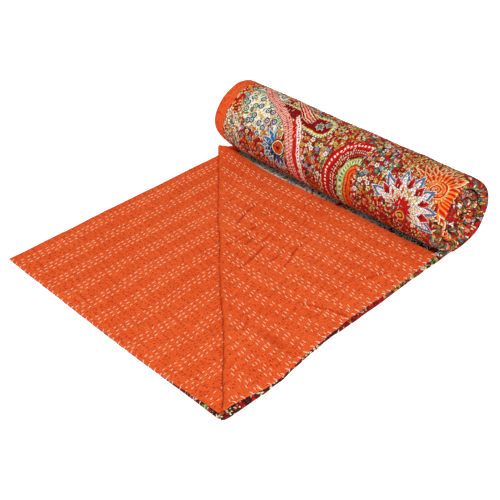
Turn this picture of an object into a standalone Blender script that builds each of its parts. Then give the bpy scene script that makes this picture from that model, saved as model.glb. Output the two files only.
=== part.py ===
"""Kantha quilt: folded in half lengthwise, one corner turned back, the rest rolled up.

The quilt is one stitched sheet, so it is one solid. Its long fold runs along the right side.
The free end lies flat in front, with the corner of the upper leaf turned back over the
diagonal, and the rest is rolled on top of the flat part. Metres. X runs along the roll from
the open long edges to the fold, Y from the free end to the roll, Z is up.
"""
import math

import bmesh
import bpy
import numpy as np

# Sheet
HALF_WIDTH = 0.760      # the quilt is 1.52 m wide, folded in half
LAYER = 0.005           # stitched layers with the puff between their rows
LAYER_GAP = 0.0015      # air between two leaves that lie on each other
ROW_PITCH = 0.010       # one row of running stitches to the next
ROW_RELIEF = 0.0007     # a ridge above, or a row below, the mean surface
STATION = ROW_PITCH / 2  # even stations lie on the stitched rows, odd ones on the puffs between

# Roll
ROLL_RADIUS = 0.1022
ROLL_Y = 0.775          # axis of the roll at mid width, from the free end
ROLL_SLOPE = -0.033     # the roll lies a little askew: dy per dx of its axis
ROLL_LEFT = -0.005
ROLL_RIGHT = 0.770      # the rolled fold stands proud of the flat one
ROLL_BELLY = 0.0015     # the roll is a little fuller at mid width
ROLL_SIDES = 21
FOLD_NOSE = 0.015       # length of the rounded fold at the roll's right end
OPEN_NOSE = 0.020       # length over which the open edges draw in at its left end
OPEN_DRAW = 0.7         # and how far, as a share of half a coil
SLIT_DEPTH = 0.011      # groove between two coils, at the roll's ends
FLOOR_LIFT = 0.0006     # the roll's underside, inside the flat leaf that carries it
LAST_TURN = 0.955       # the outer turn comes down to here, nearly a whole turn
PRESSED_TURNS = (0.04, 0.94)  # before and after these the roll is pressed smooth by its weight
TIE_TURN = 0.969        # there it meets the flat leaf, just in front of its axis
TIE_RADIUS = 0.1017

# Winding of the roll's outer face: turns from where it leaves the floor, inward step in metres.
# It stays round over the top and is pressed together where it rests on the flat part.
WINDING = (
    (0.00, 0.000), (0.50, 0.0015), (0.75, 0.005), (1.00, 0.013), (1.25, 0.026), (1.50, 0.031),
    (1.75, 0.036), (2.00, 0.042), (2.50, 0.053), (3.00, 0.064), (3.50, 0.074), (4.00, 0.083),
    (4.40, 0.089),
)
COILS = 4

# Plan of the flat part. Edges that run across are read as x, y, those that run up as y, x.
FRONT_EDGE = ((0.0, 0.0), (0.16, -0.0035), (0.29, -0.010), (0.62, -0.0115), (0.76, -0.010))
EDGE_WAVE = 0.001       # the free end and the open edges are a little wavy
LONG_FOLD = ((0.0, 0.764), (0.08, 0.771), (0.20, 0.764), (0.33, 0.753), (0.45, 0.753),
             (0.78, 0.762))
UNDER_ROLL = 0.045      # the lower leaf lies flat and unpuffed from this far before the axis
LEAF_RISE = (0.012, 0.024)  # beyond the axis it leaves the floor and runs up into the roll
# Diagonal fold, from beside the roll to the front corner: x, y
DIAGONAL = ((-0.020, 0.718), (0.228, 0.474), (0.395, 0.318), (0.494, 0.240), (0.585, 0.164),
            (0.669, 0.075), (0.748, 0.000))
FLAP_BACK = ((-0.014, 0.731), (0.014, 0.735), (0.057, 0.729), (0.105, 0.721), (0.19, 0.711),
             (0.76, 0.709))
FLAP_RIGHT = ((0.0, 0.752), (0.06, 0.758), (0.125, 0.769), (0.185, 0.765), (0.27, 0.755),
              (0.386, 0.747), (0.516, 0.752), (0.708, 0.748))
FLAP_SHOULDER = 0.007   # the diagonal fold puffs up beside the roll
LONG_FOLD_WIDTH = 2.0   # the long fold is pressed to twice as wide as it is high
FOLD_SIDES = 8
FOLD_STATIONS = 16

UPPER_LOW = LAYER + LAYER_GAP
UPPER_TOP = UPPER_LOW + LAYER
FLAP_LOW = UPPER_TOP + LAYER_GAP
FLAP_TOP = FLAP_LOW + LAYER
COLOUR = (0.80, 0.16, 0.03)
ROUGHNESS = 0.9


def read(table, at):
    """Second column of a table at a value of its first."""
    rows = sorted(table)
    return float(np.interp(at, [row[0] for row in rows], [row[1] for row in rows]))


def ridge(index):
    """Height of a station over the mean surface, a little uneven from row to row."""
    swell = 1.0 + 0.25 * math.sin(0.37 * index) + 0.15 * math.sin(0.83 * index + 1.0)
    return ROW_RELIEF * swell * (1.0 if index % 2 else -1.0)


def new_object(name, mesh):
    bmesh.ops.recalc_face_normals(mesh, faces=mesh.faces)
    data = bpy.data.meshes.new(name)
    mesh.to_mesh(data)
    mesh.free()
    return bpy.data.objects.new(name, data)


def add_walls(mesh, sections):
    """Walls through like closed sections. Gives back the rows of vertices."""
    rows = [[mesh.verts.new(point) for point in section] for section in sections]
    count = len(sections[0])
    for a, b in zip(rows, rows[1:]):
        for i in range(count):
            j = (i + 1) % count
            mesh.faces.new((a[i], a[j], b[j], b[i]))
    return rows


def loft(name, sections):
    mesh = bmesh.new()
    rows = add_walls(mesh, sections)
    mesh.faces.new(rows[0])
    mesh.faces.new(rows[-1])
    return new_object(name, mesh)


# --- The roll ------------------------------------------------------------------------------
TURNS = [LAST_TURN * i / (ROLL_SIDES - 1) for i in range(ROLL_SIDES)]


def roll_axis_y(x):
    return ROLL_Y + ROLL_SLOPE * (x - HALF_WIDTH / 2)


def roll_point(x, turn, radius):
    """A point at a share of a turn from the floor, up the far side, over the top and down."""
    angle = 2 * math.pi * turn
    y = roll_axis_y(x) + radius * math.sin(angle)
    z = ROLL_RADIUS - radius * math.cos(angle)
    return (x, y, max(z, FLOOR_LIFT))


def coil_middle(turns):
    """Inward step of the middle of a coil, between this turn and the next one."""
    return 0.5 * (read(WINDING, turns) + read(WINDING, turns + 1))


def roll_section(index):
    """Outline across the roll. Its ends are drawn in towards the middle of the outer coil."""
    x = index * STATION
    right = max(0.0, (x - ROLL_RIGHT) / FOLD_NOSE + 1)
    left = max(0.0, (ROLL_LEFT - x) / OPEN_NOSE + 1)
    draw = 1 - math.sqrt(1 - min(1.0, right) ** 2) + OPEN_DRAW * (1 - math.sqrt(1 - min(1.0, left) ** 2))
    belly = ROLL_BELLY * (1 - (2 * x / HALF_WIDTH - 1) ** 2)
    points = []
    for turn in TURNS:
        step = read(WINDING, turn)
        inset = step + draw * (coil_middle(turn) - step)
        pressed = turn < PRESSED_TURNS[0] or turn > PRESSED_TURNS[1]
        relief = 0.0 if pressed else belly + ridge(index)
        points.append(roll_point(x, turn, ROLL_RADIUS - inset + relief))
    lift = draw * (coil_middle(TIE_TURN) - (ROLL_RADIUS - TIE_RADIUS))
    points.append(roll_point(x, TIE_TURN, TIE_RADIUS - lift))
    return points


def close_coils(mesh, rim, x, inward):
    """One end of the roll: a spiral of coils with a groove between each and the next."""
    spokes = []
    for rim_point, turn in zip(rim, TURNS + [TIE_TURN]):
        spoke = [rim_point]
        for coil in range(COILS):
            groove = ROLL_RADIUS - read(WINDING, turn + coil + 1)
            spoke.append(mesh.verts.new(roll_point(x + inward * SLIT_DEPTH, turn, groove)))
            if coil < COILS - 1:
                crest = ROLL_RADIUS - coil_middle(turn + coil + 1)
                spoke.append(mesh.verts.new(roll_point(x, turn, crest)))
        spokes.append(spoke)
    middle = mesh.verts.new((x + inward * SLIT_DEPTH, roll_axis_y(x), ROLL_RADIUS))
    last = len(spokes[0]) - 1
    for a, b in zip(spokes, spokes[1:]):
        for j in range(last):
            mesh.faces.new((a[j], a[j + 1], b[j + 1], b[j]))
        mesh.faces.new((a[last], middle, b[last]))
    # after a whole turn each coil runs on as the next one in
    a, b = spokes[-1], spokes[0]
    mesh.faces.new((a[0], b[0], b[1], b[2]))
    for j in range(last - 2):
        mesh.faces.new((a[j], a[j + 1], b[j + 3], b[j + 2]))
    mesh.faces.new((a[last - 2], a[last - 1], b[last]))
    mesh.faces.new((a[last - 1], a[last], b[last]))
    mesh.faces.new((a[last], middle, b[last]))


def make_roll():
    mesh = bmesh.new()
    stations = range(round(ROLL_LEFT / STATION), round(ROLL_RIGHT / STATION) + 1)
    rows = add_walls(mesh, [roll_section(i) for i in stations])
    close_coils(mesh, rows[0], ROLL_LEFT, 1)
    close_coils(mesh, rows[-1], ROLL_RIGHT, -1)
    return new_object("roll", mesh)


# --- The flat lower leaf -------------------------------------------------------------------
def lower_section(index):
    """Outline across the lower leaf, from its free end to where it leaves the floor."""
    x = index * STATION
    front = read(FRONT_EDGE, x) + EDGE_WAVE * math.sin(31 * x)
    far = roll_axis_y(x)
    top = LAYER + ridge(index)
    line = ((front + EDGE_WAVE, 0.0), (front, top), (far - 3 * UNDER_ROLL, top),
            (far - UNDER_ROLL, LAYER), (far + LEAF_RISE[1], LAYER / 2), (far + LEAF_RISE[0], 0.0))
    open_edge = index == 0
    return [(x + (EDGE_WAVE * math.sin(23 * y) if open_edge else 0.0), y, z) for y, z in line]


def make_lower_leaf():
    stations = range(round((HALF_WIDTH - 2 * LAYER) / STATION) + 1)
    return loft("lower_leaf", [lower_section(i) for i in stations])


# --- The folds and the flat upper leaf -----------------------------------------------------
def make_fold(name, plan, low, high, swell_at_start=0.0, width=1.0):
    """A soft rounded fold: an uneven tube along its plan points, from low to high."""
    plan = np.array(plan)
    sections = []
    for i, centre in enumerate(plan):
        share = i / (len(plan) - 1)
        along = plan[min(i + 1, len(plan) - 1)] - plan[max(i - 1, 0)]
        across = np.array((along[1], -along[0])) / np.hypot(*along)
        radius = (high - low) / 2 * (1 + 0.05 * math.sin(3.1 * i)) + swell_at_start * (1 - share) ** 6
        ring = []
        for k in range(FOLD_SIDES):
            angle = 2 * math.pi * (k + 0.5) / FOLD_SIDES
            x, y = centre + across * width * radius * math.cos(angle)
            ring.append((x, y, low + radius * (1 + math.sin(angle))))
        sections.append(ring)
    return loft(name, sections)


def make_long_fold():
    """Joins both leaves along the right side, from the free end to the roll."""
    ends = np.linspace(read(FRONT_EDGE, HALF_WIDTH), roll_axis_y(HALF_WIDTH), FOLD_STATIONS)
    plan = [(read(LONG_FOLD, y) - LONG_FOLD_WIDTH * UPPER_TOP / 2, y) for y in ends]
    return make_fold("long_fold", plan, FLOOR_LIFT, UPPER_TOP, width=LONG_FOLD_WIDTH)


def diagonal_point(share):
    """Plan point of the diagonal fold: share 0 is the front corner, 1 is beside the roll."""
    rows = np.array(DIAGONAL)[::-1]
    length = np.concatenate(([0.0], np.cumsum(np.hypot(*np.diff(rows, axis=0).T))))
    at = share * length[-1]
    return float(np.interp(at, length, rows[:, 0])), float(np.interp(at, length, rows[:, 1]))


NOSE = (FLAP_TOP - UPPER_LOW) / 2


def make_diagonal_fold():
    """Joins the upper leaf to its turned-back corner. Beside the roll it puffs up."""
    plan = []
    for i in range(FOLD_STATIONS):
        x, y = diagonal_point(1 - i / (FOLD_STATIONS - 1))
        plan.append((x + NOSE / math.sqrt(2), y + NOSE / math.sqrt(2)))
    return make_fold("diagonal_fold", plan, UPPER_LOW, FLAP_TOP, FLAP_SHOULDER / 2)


def make_upper_leaf():
    """What stays flat of the upper leaf: the half beyond the diagonal, as far as the roll."""
    right = HALF_WIDTH - 2 * LAYER
    outline = [(right, 0.012), (right, roll_axis_y(right) - 0.012), (0.001, roll_axis_y(0) - 0.012)]
    outline += [(max(x, 0.001) + NOSE, y + NOSE) for x, y in DIAGONAL[:-1]]
    heights = (UPPER_LOW + 0.0003, UPPER_TOP)
    return loft("upper_leaf", [[(x, y, z) for x, y in outline] for z in heights])


# --- The turned-back corner ----------------------------------------------------------------
def flap_section(share, index):
    """Outline across the flap along one stitched row, from the diagonal fold to its open edge."""
    x, y = diagonal_point(share)
    left, left_y = x + NOSE, y + NOSE
    right_y = share * read(FLAP_BACK, HALF_WIDTH)
    right = read(FLAP_RIGHT, right_y)
    puff = FLAP_SHOULDER * share ** 10
    top = FLAP_TOP + ridge(index)
    profile = ((0.0, FLAP_LOW + 0.5 * puff), (0.0, top + 0.8 * puff), (0.05, top + 0.5 * puff),
               (0.30, top), (1.0, top), (0.999, FLAP_LOW))
    section = []
    for across, z in profile:
        x = left + (right - left) * across
        y = left_y + (right_y - left_y) * across
        if across > 0:
            y += share ** 8 * (read(FLAP_BACK, x) - y / share)
        section.append((x, y, z))
    return section


def make_flap():
    count = round(FLAP_BACK[-1][1] / STATION)
    return loft("flap", [flap_section(i / count, i) for i in range(1, count + 1)])


# --- Assembly ------------------------------------------------------------------------------
def fabric():
    material = bpy.data.materials.new("quilt")
    material.use_nodes = True
    shader = material.node_tree.nodes["Principled BSDF"]
    shader.inputs["Base Color"].default_value = (*COLOUR, 1.0)
    shader.inputs["Roughness"].default_value = ROUGHNESS
    shader.inputs["Metallic"].default_value = 0.0
    return material


def make_quilt():
    """One body: every fold and leaf is joined to the roll. The origin is under its middle."""
    pieces = [make_roll(), make_lower_leaf(), make_long_fold(), make_upper_leaf(),
              make_diagonal_fold(), make_flap()]
    points = np.array([v.co[:] for piece in pieces for v in piece.data.vertices])
    low = points.min(axis=0)
    high = points.max(axis=0)
    collection = bpy.data.collections.new("kantha_quilt")
    tools = bpy.data.collections.new("joined_leaves")
    bpy.context.scene.collection.children.link(collection)
    bpy.context.scene.collection.children.link(tools)
    for piece in pieces:
        piece.location = (-(low[0] + high[0]) / 2, -(low[1] + high[1]) / 2, -low[2])
    quilt = pieces[0]
    quilt.name = "quilt"
    collection.objects.link(quilt)
    for piece in pieces[1:]:
        tools.objects.link(piece)
        piece.hide_render = True
        piece.display_type = "WIRE"
        join = quilt.modifiers.new(piece.name, "BOOLEAN")
        join.operation = "UNION"
        join.solver = "EXACT"
        join.object = piece
    flat = quilt.modifiers.new("flat_faces", "DECIMATE")
    flat.decimate_type = "DISSOLVE"
    flat.angle_limit = math.radians(0.2)
    quilt.data.materials.append(fabric())
    quilt.data.shade_smooth()


for old in list(bpy.data.objects):
    bpy.data.objects.remove(old, do_unlink=True)
make_quilt()
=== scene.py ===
"""A kantha quilt: printed cotton front, plain orange back, quilted by hand.

It is folded in half lengthwise, the corner of its free end is turned back over the diagonal,
and the rest is rolled up. Metres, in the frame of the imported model.
"""

import math
from functools import partialmethod

import bmesh
import bpy
import numpy as np
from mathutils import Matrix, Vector


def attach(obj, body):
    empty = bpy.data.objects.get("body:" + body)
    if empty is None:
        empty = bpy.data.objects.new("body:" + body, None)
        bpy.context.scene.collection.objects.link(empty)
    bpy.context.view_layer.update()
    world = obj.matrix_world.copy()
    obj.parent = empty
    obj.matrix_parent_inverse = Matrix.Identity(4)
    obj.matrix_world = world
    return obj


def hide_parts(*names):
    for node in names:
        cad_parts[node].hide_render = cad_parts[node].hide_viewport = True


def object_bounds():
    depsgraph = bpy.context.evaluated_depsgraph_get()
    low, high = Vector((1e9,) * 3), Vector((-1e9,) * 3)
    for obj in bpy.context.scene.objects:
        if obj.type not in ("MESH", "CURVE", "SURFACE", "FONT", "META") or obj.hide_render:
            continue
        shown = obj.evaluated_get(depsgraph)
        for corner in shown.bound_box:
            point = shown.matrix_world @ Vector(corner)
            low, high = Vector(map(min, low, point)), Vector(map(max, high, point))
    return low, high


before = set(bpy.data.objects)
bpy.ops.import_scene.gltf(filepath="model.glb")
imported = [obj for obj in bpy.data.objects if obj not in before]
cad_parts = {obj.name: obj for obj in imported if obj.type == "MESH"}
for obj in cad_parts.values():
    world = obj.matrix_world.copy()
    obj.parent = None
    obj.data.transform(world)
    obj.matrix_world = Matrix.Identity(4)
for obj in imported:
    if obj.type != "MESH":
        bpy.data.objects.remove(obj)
cad_box = [list(map(float, side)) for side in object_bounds()]


# === Orange back ============================================================================
# The plain cotton back, on the inside of the fold and the roll. Its edges are turned over the
# print as a hem. It is sewn to the front over soft filling and quilted by hand. The whole is
# folded in half lengthwise and rolled up from its far end.

# u runs across a leaf from its open edge to the long fold, v along it from the free end
HALF_WIDTH = 0.760
FULL_WIDTH = 2 * HALF_WIDTH
PLY = 0.005                  # all three layers, with the puff between the rows
HALF_PLY = PLY / 2
AIR = 0.0015                 # between leaves that lie on each other
FOLDED = 2 * PLY + AIR       # both leaves
ROW_PITCH = 0.010
ROW_GROUPING = 0.104         # how much closer the three rows of one colour lie
PUFF = 0.001
# first row, pitch of the rows, repeat of the stitches: as sewn, and on the turned-back corner
LOWER_ROWS, FLAP_ROWS = (0.0, ROW_PITCH, 0.0167), (0.0055, 0.00942, 0.0200)
PRESSED_NOSE = 0.0115        # the flat long fold, from where the leaves start to close
ROLLED_NOSE = 0.015
LEAF_END = HALF_WIDTH - PRESSED_NOSE
ROLL_RADIUS = 0.1022
FLAT_LENGTH = 0.785          # of a leaf, before it goes into the roll
LAST_TURN = 4.4
ROLL_AXIS, ROLL_SLANT, ROLL_END = 0.775, 0.033, 0.770
PARTING = 0.690              # u where the rolled leaves start to part
LOOSENING = 0.12             # turns until they lie loose
FLAP_END = 0.752             # free end of the turned-back corner

# corner where the open edge meets the free end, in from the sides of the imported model
CORNER_INSET = (0.0219, 0.0122)
corner = np.array((cad_box[0][0] + CORNER_INSET[0], cad_box[0][1] + CORNER_INSET[1], 0.0))

# plan of the flat part: x, y for what runs across, y, x for what runs up
FREE_END = ((0.0, 0.0), (0.072, -0.003), (0.158, -0.0045), (0.243, -0.0065), (0.291, -0.008),
            (0.48, -0.0114), (0.615, -0.0113), (0.672, -0.0112), (0.700, -0.0118), (0.725, -0.0123),
            (0.742, -0.0122), (0.755, -0.0085), (0.768, -0.005))
LONG_FOLD = ((0.0, 0.764), (0.026, 0.765), (0.079, 0.767), (0.150, 0.7667), (0.20, 0.7605),
             (0.25, 0.7560), (0.331, 0.7533), (0.385, 0.7558), (0.451, 0.7573), (0.56, 0.7564),
             (0.683, 0.759), (0.78, 0.759))
DIAGONAL = ((-0.018, 0.720), (0.1226, 0.5886), (0.2334, 0.4794), (0.3192, 0.4037), (0.4011, 0.3236),
            (0.494, 0.2396), (0.584, 0.163), (0.6707, 0.0767), (0.7485, 0.000))
FLAP_BACK = ((-0.014, 0.731), (0.004, 0.737), (0.030, 0.7375), (0.057, 0.730), (0.086, 0.7235),
             (0.113, 0.722), (0.138, 0.717), (0.191, 0.714), (0.30, 0.711), (0.46, 0.7135),
             (0.62, 0.7085), (0.76, 0.7085))
FLAP_SIDE = ((0.0, 0.7510), (0.025, 0.7505), (0.063, 0.756), (0.087, 0.761), (0.104, 0.765),
             (0.145, 0.7665), (0.185, 0.7630), (0.227, 0.7568), (0.297, 0.7530), (0.364, 0.7495),
             (0.386, 0.7490), (0.431, 0.7497), (0.516, 0.755), (0.593, 0.7545), (0.662, 0.7515),
             (0.710, 0.7465))

# winding of the roll's outer face: turns from where it leaves the floor, inward step
WINDING = ((0.00, 0.000), (0.50, 0.0015), (0.75, 0.005), (0.875, 0.0125), (1.00, 0.0165), (1.25, 0.026),
           (1.50, 0.031), (1.75, 0.036), (2.00, 0.042), (2.50, 0.053), (3.00, 0.064),
           (3.50, 0.074), (4.00, 0.083), (4.40, 0.089), (5.40, 0.098))

# creases pressed into the turned-back corner: plan points, half width, depth
CREASES = (
    (((0.632, 0.346), (0.665, 0.360), (0.703, 0.376), (0.728, 0.382), (0.760, 0.384)), 0.0032, 0.0036),
    (((0.686, 0.517), (0.695, 0.5425), (0.705, 0.5625), (0.713, 0.574)), 0.0026, 0.0030),
    (((0.426, 0.449), (0.436, 0.415), (0.442, 0.390), (0.443, 0.368), (0.448, 0.343)), 0.0026, 0.0034),
    (((0.362, 0.462), (0.364, 0.430), (0.361, 0.405), (0.356, 0.392)), 0.0026, 0.0032),
    (((0.350, 0.503), (0.353, 0.480)), 0.0034, 0.0030),
    (((0.487, 0.519), (0.489, 0.505), (0.494, 0.485), (0.502, 0.467)), 0.0026, 0.0034),
    (((0.508, 0.460), (0.515, 0.428)), 0.0030, 0.0016),
    (((0.478, 0.466), (0.479, 0.440), (0.482, 0.416)), 0.0026, 0.0024),
    (((0.378, 0.478), (0.383, 0.450), (0.388, 0.418)), 0.0028, 0.0022),
    (((0.280, 0.574), (0.284, 0.540), (0.290, 0.520), (0.300, 0.492), (0.307, 0.478)), 0.0028, 0.0026),
    (((0.215, 0.556), (0.218, 0.518)), 0.0030, 0.0022),
    (((0.420, 0.622), (0.430, 0.580), (0.440, 0.548)), 0.0030, 0.0016),
    (((0.402, 0.500), (0.409, 0.462)), 0.0030, 0.0016),
    (((0.330, 0.600), (0.336, 0.560)), 0.0032, 0.0014),
    (((0.590, 0.600), (0.582, 0.566)), 0.0032, 0.0013),
    (((0.606, 0.196), (0.588, 0.232)), 0.0032, 0.0014),
)
# how deep all are pressed, and the ridge beside each: its share of the depth, and its place
CREASE_PRESS, RIDGE_SHARE, RIDGE_PLACE = 1.35, 0.35, 1.9
# a wide dent near its front corner: middle, half length, half width, depth
DENT = ((0.683, 0.216), 0.034, 0.012, 0.0016)


def read(table, at):
    """Second column of a table at values of its first."""
    rows = np.array(sorted(table))
    return np.interp(at, rows[:, 0], rows[:, 1])


def ease(amount):
    """0 to 1 with soft ends."""
    amount = np.clip(amount, 0.0, 1.0)
    return amount * amount * (3 - 2 * amount)


def unevenness(a, b, size, seed):
    """Soft random swells between -1 and 1 over a and b, each about this size across."""
    table = np.random.default_rng(seed).uniform(-1, 1, (64, 64))
    a, b = np.broadcast_arrays(np.asarray(a, float) / size, np.asarray(b, float) / size)
    i, j = np.floor(a).astype(int), np.floor(b).astype(int)
    s, t = ease(a - i), ease(b - j)
    low = table[i % 64, j % 64] * (1 - s) + table[(i + 1) % 64, j % 64] * s
    high = table[i % 64, (j + 1) % 64] * (1 - s) + table[(i + 1) % 64, (j + 1) % 64] * s
    return low * (1 - t) + high * t


def wobble(a, size, seed):
    """The same along one measure."""
    return unevenness(a, 0 * a, size, seed)


# the winding in even steps, smoothed
WINDING_STEPS, BRUSH_STEPS = 2701, 61
wound = np.linspace(0, WINDING[-1][0], WINDING_STEPS)
brush = np.hanning(BRUSH_STEPS) / np.hanning(BRUSH_STEPS).sum()
wound_step = np.convolve(np.pad(read(WINDING, wound), BRUSH_STEPS // 2, mode="edge"), brush, mode="valid")


def inward_step(turns):
    """How far the outer face of a coil has come in from that of the roll."""
    return np.interp(turns, wound, wound_step)


def coil_room(turns):
    """From the outer face of a coil to that of the next one in."""
    return inward_step(turns + 1) - inward_step(turns)


def wound_length(turns, depth):
    """v of a leaf in the roll, which lies this deep under the outer face of its coil."""
    grown = np.cumsum(2 * math.pi * (ROLL_RADIUS - depth - wound_step)) * (wound[1] - wound[0])
    return FLAT_LENGTH + np.interp(turns, wound, grown - grown[0])


def roll_axis_y(x):
    """The roll lies a little aslant."""
    return ROLL_AXIS - ROLL_SLANT * (x - HALF_WIDTH / 2)


def row_wander(u, v, turned):
    """The rows are not quite straight. On the turned corner a crease and the fold draw them up."""
    wander = 0.0024 * unevenness(u, v, 0.11, 12) + 0.0008 * unevenness(u, v, 0.03, 13)
    if turned:
        wander = wander - 0.018 * np.exp(-((u - 0.40) / 0.075) ** 2) * ease(1 - v / 0.20)
        wander = wander - 0.006 * ease(1 - (flap_row(u) - v) / 0.14)
    return wander


def row_count(u, v, turned=False):
    """Running number of the quilting rows at a point, whole on a row."""
    start, pitch, _ = FLAP_ROWS if turned else LOWER_ROWS
    count = (u - start - row_wander(u, v, turned)) / pitch
    return count - ROW_GROUPING * np.sin(math.pi / 3 * (count - 4))


def stitch_shift(row, v):
    """Where a row's stitches fall. Rows go in threes, nearly level with each other."""
    row = np.asarray(row, float)
    group = row // 3
    return (0.12 * (row % 3) + 0.37 * ((group * 7) % 5)
            + 0.25 * unevenness(group * 3.1, v, 0.21, 14) + 0.30 * unevenness(row * 5.3, v, 0.10, 15))


def puff(u, v, seed, turned=False):
    """Height over the mean face: drawn in along the rows, most at the stitches."""
    count = row_count(u, v, turned)
    row = np.round(count)
    on_row = 0.5 + 0.5 * np.cos(2 * math.pi * count)
    tight = 1 + 0.5 * unevenness(row * 7.3, v, 0.05, seed)
    repeat = (FLAP_ROWS if turned else LOWER_ROWS)[2]
    stitched = 0.5 + 0.5 * np.cos(2 * math.pi * (v / repeat + stitch_shift(row, v)))
    drawn = (0.40 * tight + 0.45 * stitched) * on_row ** 1.4
    return PUFF * (0.22 - drawn + 0.40 * unevenness(u, v, 0.012, seed + 1))


def rim(distance):
    """Half the thickness of the quilt at a distance from its sewn edge."""
    near = np.clip(np.asarray(distance) / HALF_PLY, 0, 1)
    return HALF_PLY * np.sqrt(1 - (1 - near) ** 2)


def place_flat(u, share, height):
    """A point of a flat leaf: share goes from the free end, 0, to under the roll, 1."""
    u, share = np.broadcast_arrays(u, share)
    start = read(FREE_END, u)
    y = start + (roll_axis_y(u) - start) * share
    left = 0.0012 * wobble(y, 0.06, 3)
    fold = read(LONG_FOLD, y) - PRESSED_NOSE
    x = left + (fold - left) * u / LEAF_END
    return np.stack(np.broadcast_arrays(x, y, height), axis=-1)


# how the outer coil's open end stands in from its fellows, by turns
END_SHIFT = ((0.38, 0.0), (0.46, 0.006), (0.55, 0.006), (0.66, -0.001), (0.72, -0.005),
             (0.80, -0.003), (0.85, 0.0), (0.90, -0.003), (1.00, 0.0))


def rolled_x(u, turns):
    """Along the roll. The coils are not quite level with each other at its ends."""
    enter = ease(turns / 0.1)
    left = enter * (-0.005 + 0.004 * wobble(turns, 0.23, 5) * ease(turns - 0.8))
    left = left + read(END_SHIFT, np.clip(turns, 0.3, 1.0))
    fold = read(LONG_FOLD, ROLL_AXIS) - PRESSED_NOSE
    fold = fold + enter * (ROLL_END - ROLLED_NOSE - fold)
    fold = fold + enter * 0.003 * wobble(turns, 0.31, 6)
    fold = fold + 0.013 * ease((turns - 0.05) / 0.15) * ease((0.52 - turns) / 0.18)
    return left + (fold - left) * u / LEAF_END


SLUMP, SLUMP_MIDDLE, SLUMP_REACH = 0.0038, 0.55, 0.22     # the last two in turns


def slump(x, turns):
    """The open end has settled a little: fuller at the back, lower in front of the top."""
    past = SLUMP_MIDDLE - turns
    wave = np.sin(math.pi * past / SLUMP_REACH) * (np.abs(past) < SLUMP_REACH)
    return SLUMP * wave * ease((0.42 - x) / 0.35)


def place_rolled(x, turns, depth):
    """A point in the roll: turns go up the far side, over the top and down in front."""
    angle = 2 * math.pi * turns
    radius = ROLL_RADIUS - inward_step(turns) - depth + slump(x, turns)
    y = roll_axis_y(x) + radius * np.sin(angle)
    z = ROLL_RADIUS - radius * np.cos(angle)
    return np.stack(np.broadcast_arrays(x, y, np.maximum(z, 0.0)), axis=-1)


def loosened(turns):
    """The leaves enter the roll pressed together, 0, and loosen, 1."""
    return ease(turns / LOOSENING)


def loop_height(turns):
    """Half the height of the rolled fold: it fills most of the room between two coils."""
    loose = (0.44 + 0.04 * wobble(turns, 0.17, 8)) * coil_room(turns)
    loose = np.maximum(loose, FOLDED / 2 * 0.94)
    return FOLDED / 2 + (loose - FOLDED / 2) * loosened(turns)


def leaf_depths(u, turns):
    """Depth of the print face of the lower and of the upper leaf, under the outer face."""
    room = coil_room(turns)
    open_share = ease((u - PARTING) / (LEAF_END - PARTING)) * loosened(turns)
    middle = FOLDED / 2 + (room - FOLDED) / 2 * loosened(turns)
    lower = open_share * (middle - loop_height(turns))
    upper = FOLDED + open_share * (middle + loop_height(turns) - FOLDED)
    bend = np.clip((0.026 - u) / 0.030, 0, 1)
    drawn = loosened(turns) * 0.62 * room / 2 * (1 - np.sqrt(1 - bend ** 2))
    slack = 0.0012 * unevenness(u, turns * 0.5, 0.11, 9) * ease(turns / 0.15)
    sagging = ease((turns - 0.62) / 0.2) * ease((1.15 - turns) / 0.1)
    slack = slack + 0.008 * ease((0.07 - u) / 0.07) * sagging
    parted = 0.004 * ease((0.12 - u) / 0.12) * ease((turns - 0.9) / 0.3)
    return lower + drawn + slack, upper + drawn + slack + parted


diagonal_rows = np.array(DIAGONAL)[::-1]
diagonal_along = np.concatenate(([0.0], np.cumsum(np.hypot(*np.diff(diagonal_rows, axis=0).T))))
FOLD_RADIUS = PLY + AIR / 2          # of the diagonal fold, to the orange face
FOLD_MIDDLE = HALF_PLY + AIR / 2     # the same, to the middle of the quilt
FOLD_HEIGHT = 2 * PLY + 1.5 * AIR    # of its axis, over the floor


def diagonal_at(share):
    """Middle line of the diagonal fold, and its plan normal, from the front corner to the roll."""
    def outline(s):
        at = np.clip(s, 0, 1) * diagonal_along[-1]
        return np.stack((np.interp(at, diagonal_along, diagonal_rows[:, 0]),
                         np.interp(at, diagonal_along, diagonal_rows[:, 1])), axis=-1)
    along = outline(share + 0.06) - outline(share - 0.06)
    along = along / np.linalg.norm(along, axis=-1, keepdims=True)
    inward = np.stack((along[..., 1], -along[..., 0]), axis=-1)
    waver = 0.0012 * wobble(share, 0.045, 11)[..., None]
    waver = waver + 0.0009 * wobble(share, 0.014, 12)[..., None]
    return outline(share) + inward * (FOLD_RADIUS + waver), inward


SHOULDER = 0.0062


def shoulder(share, across):
    """The turned-back corner stands up where its fold meets the roll."""
    return SHOULDER * share ** 9 * (1 - ease(across / 0.30))


def gap_to(points, x, y):
    """Distance, in plan, to a line through the points."""
    nearest = np.full_like(x, 1.0)
    points = np.array(points)
    for a, b in zip(points, points[1:]):
        span = b - a
        t = np.clip(((x - a[0]) * span[0] + (y - a[1]) * span[1]) / (span @ span), 0, 1)
        nearest = np.minimum(nearest, np.hypot(x - a[0] - t * span[0], y - a[1] - t * span[1]))
    return nearest


def crease_depth(x, y):
    """Troughs pressed into the turned-back corner, with a soft ridge beside each."""
    depth = np.zeros_like(x)
    for points, width, deep in CREASES:
        reach = gap_to(points, x, y) / width
        ridge = RIDGE_SHARE * np.exp(-(reach - RIDGE_PLACE) ** 2)
        depth = depth + CREASE_PRESS * deep * (np.exp(-reach ** 2) - ridge)
    (middle_x, middle_y), long, wide, deep = DENT
    return depth + deep * np.exp(-((x - middle_x) / long) ** 2 - ((y - middle_y) / wide) ** 2)


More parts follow.
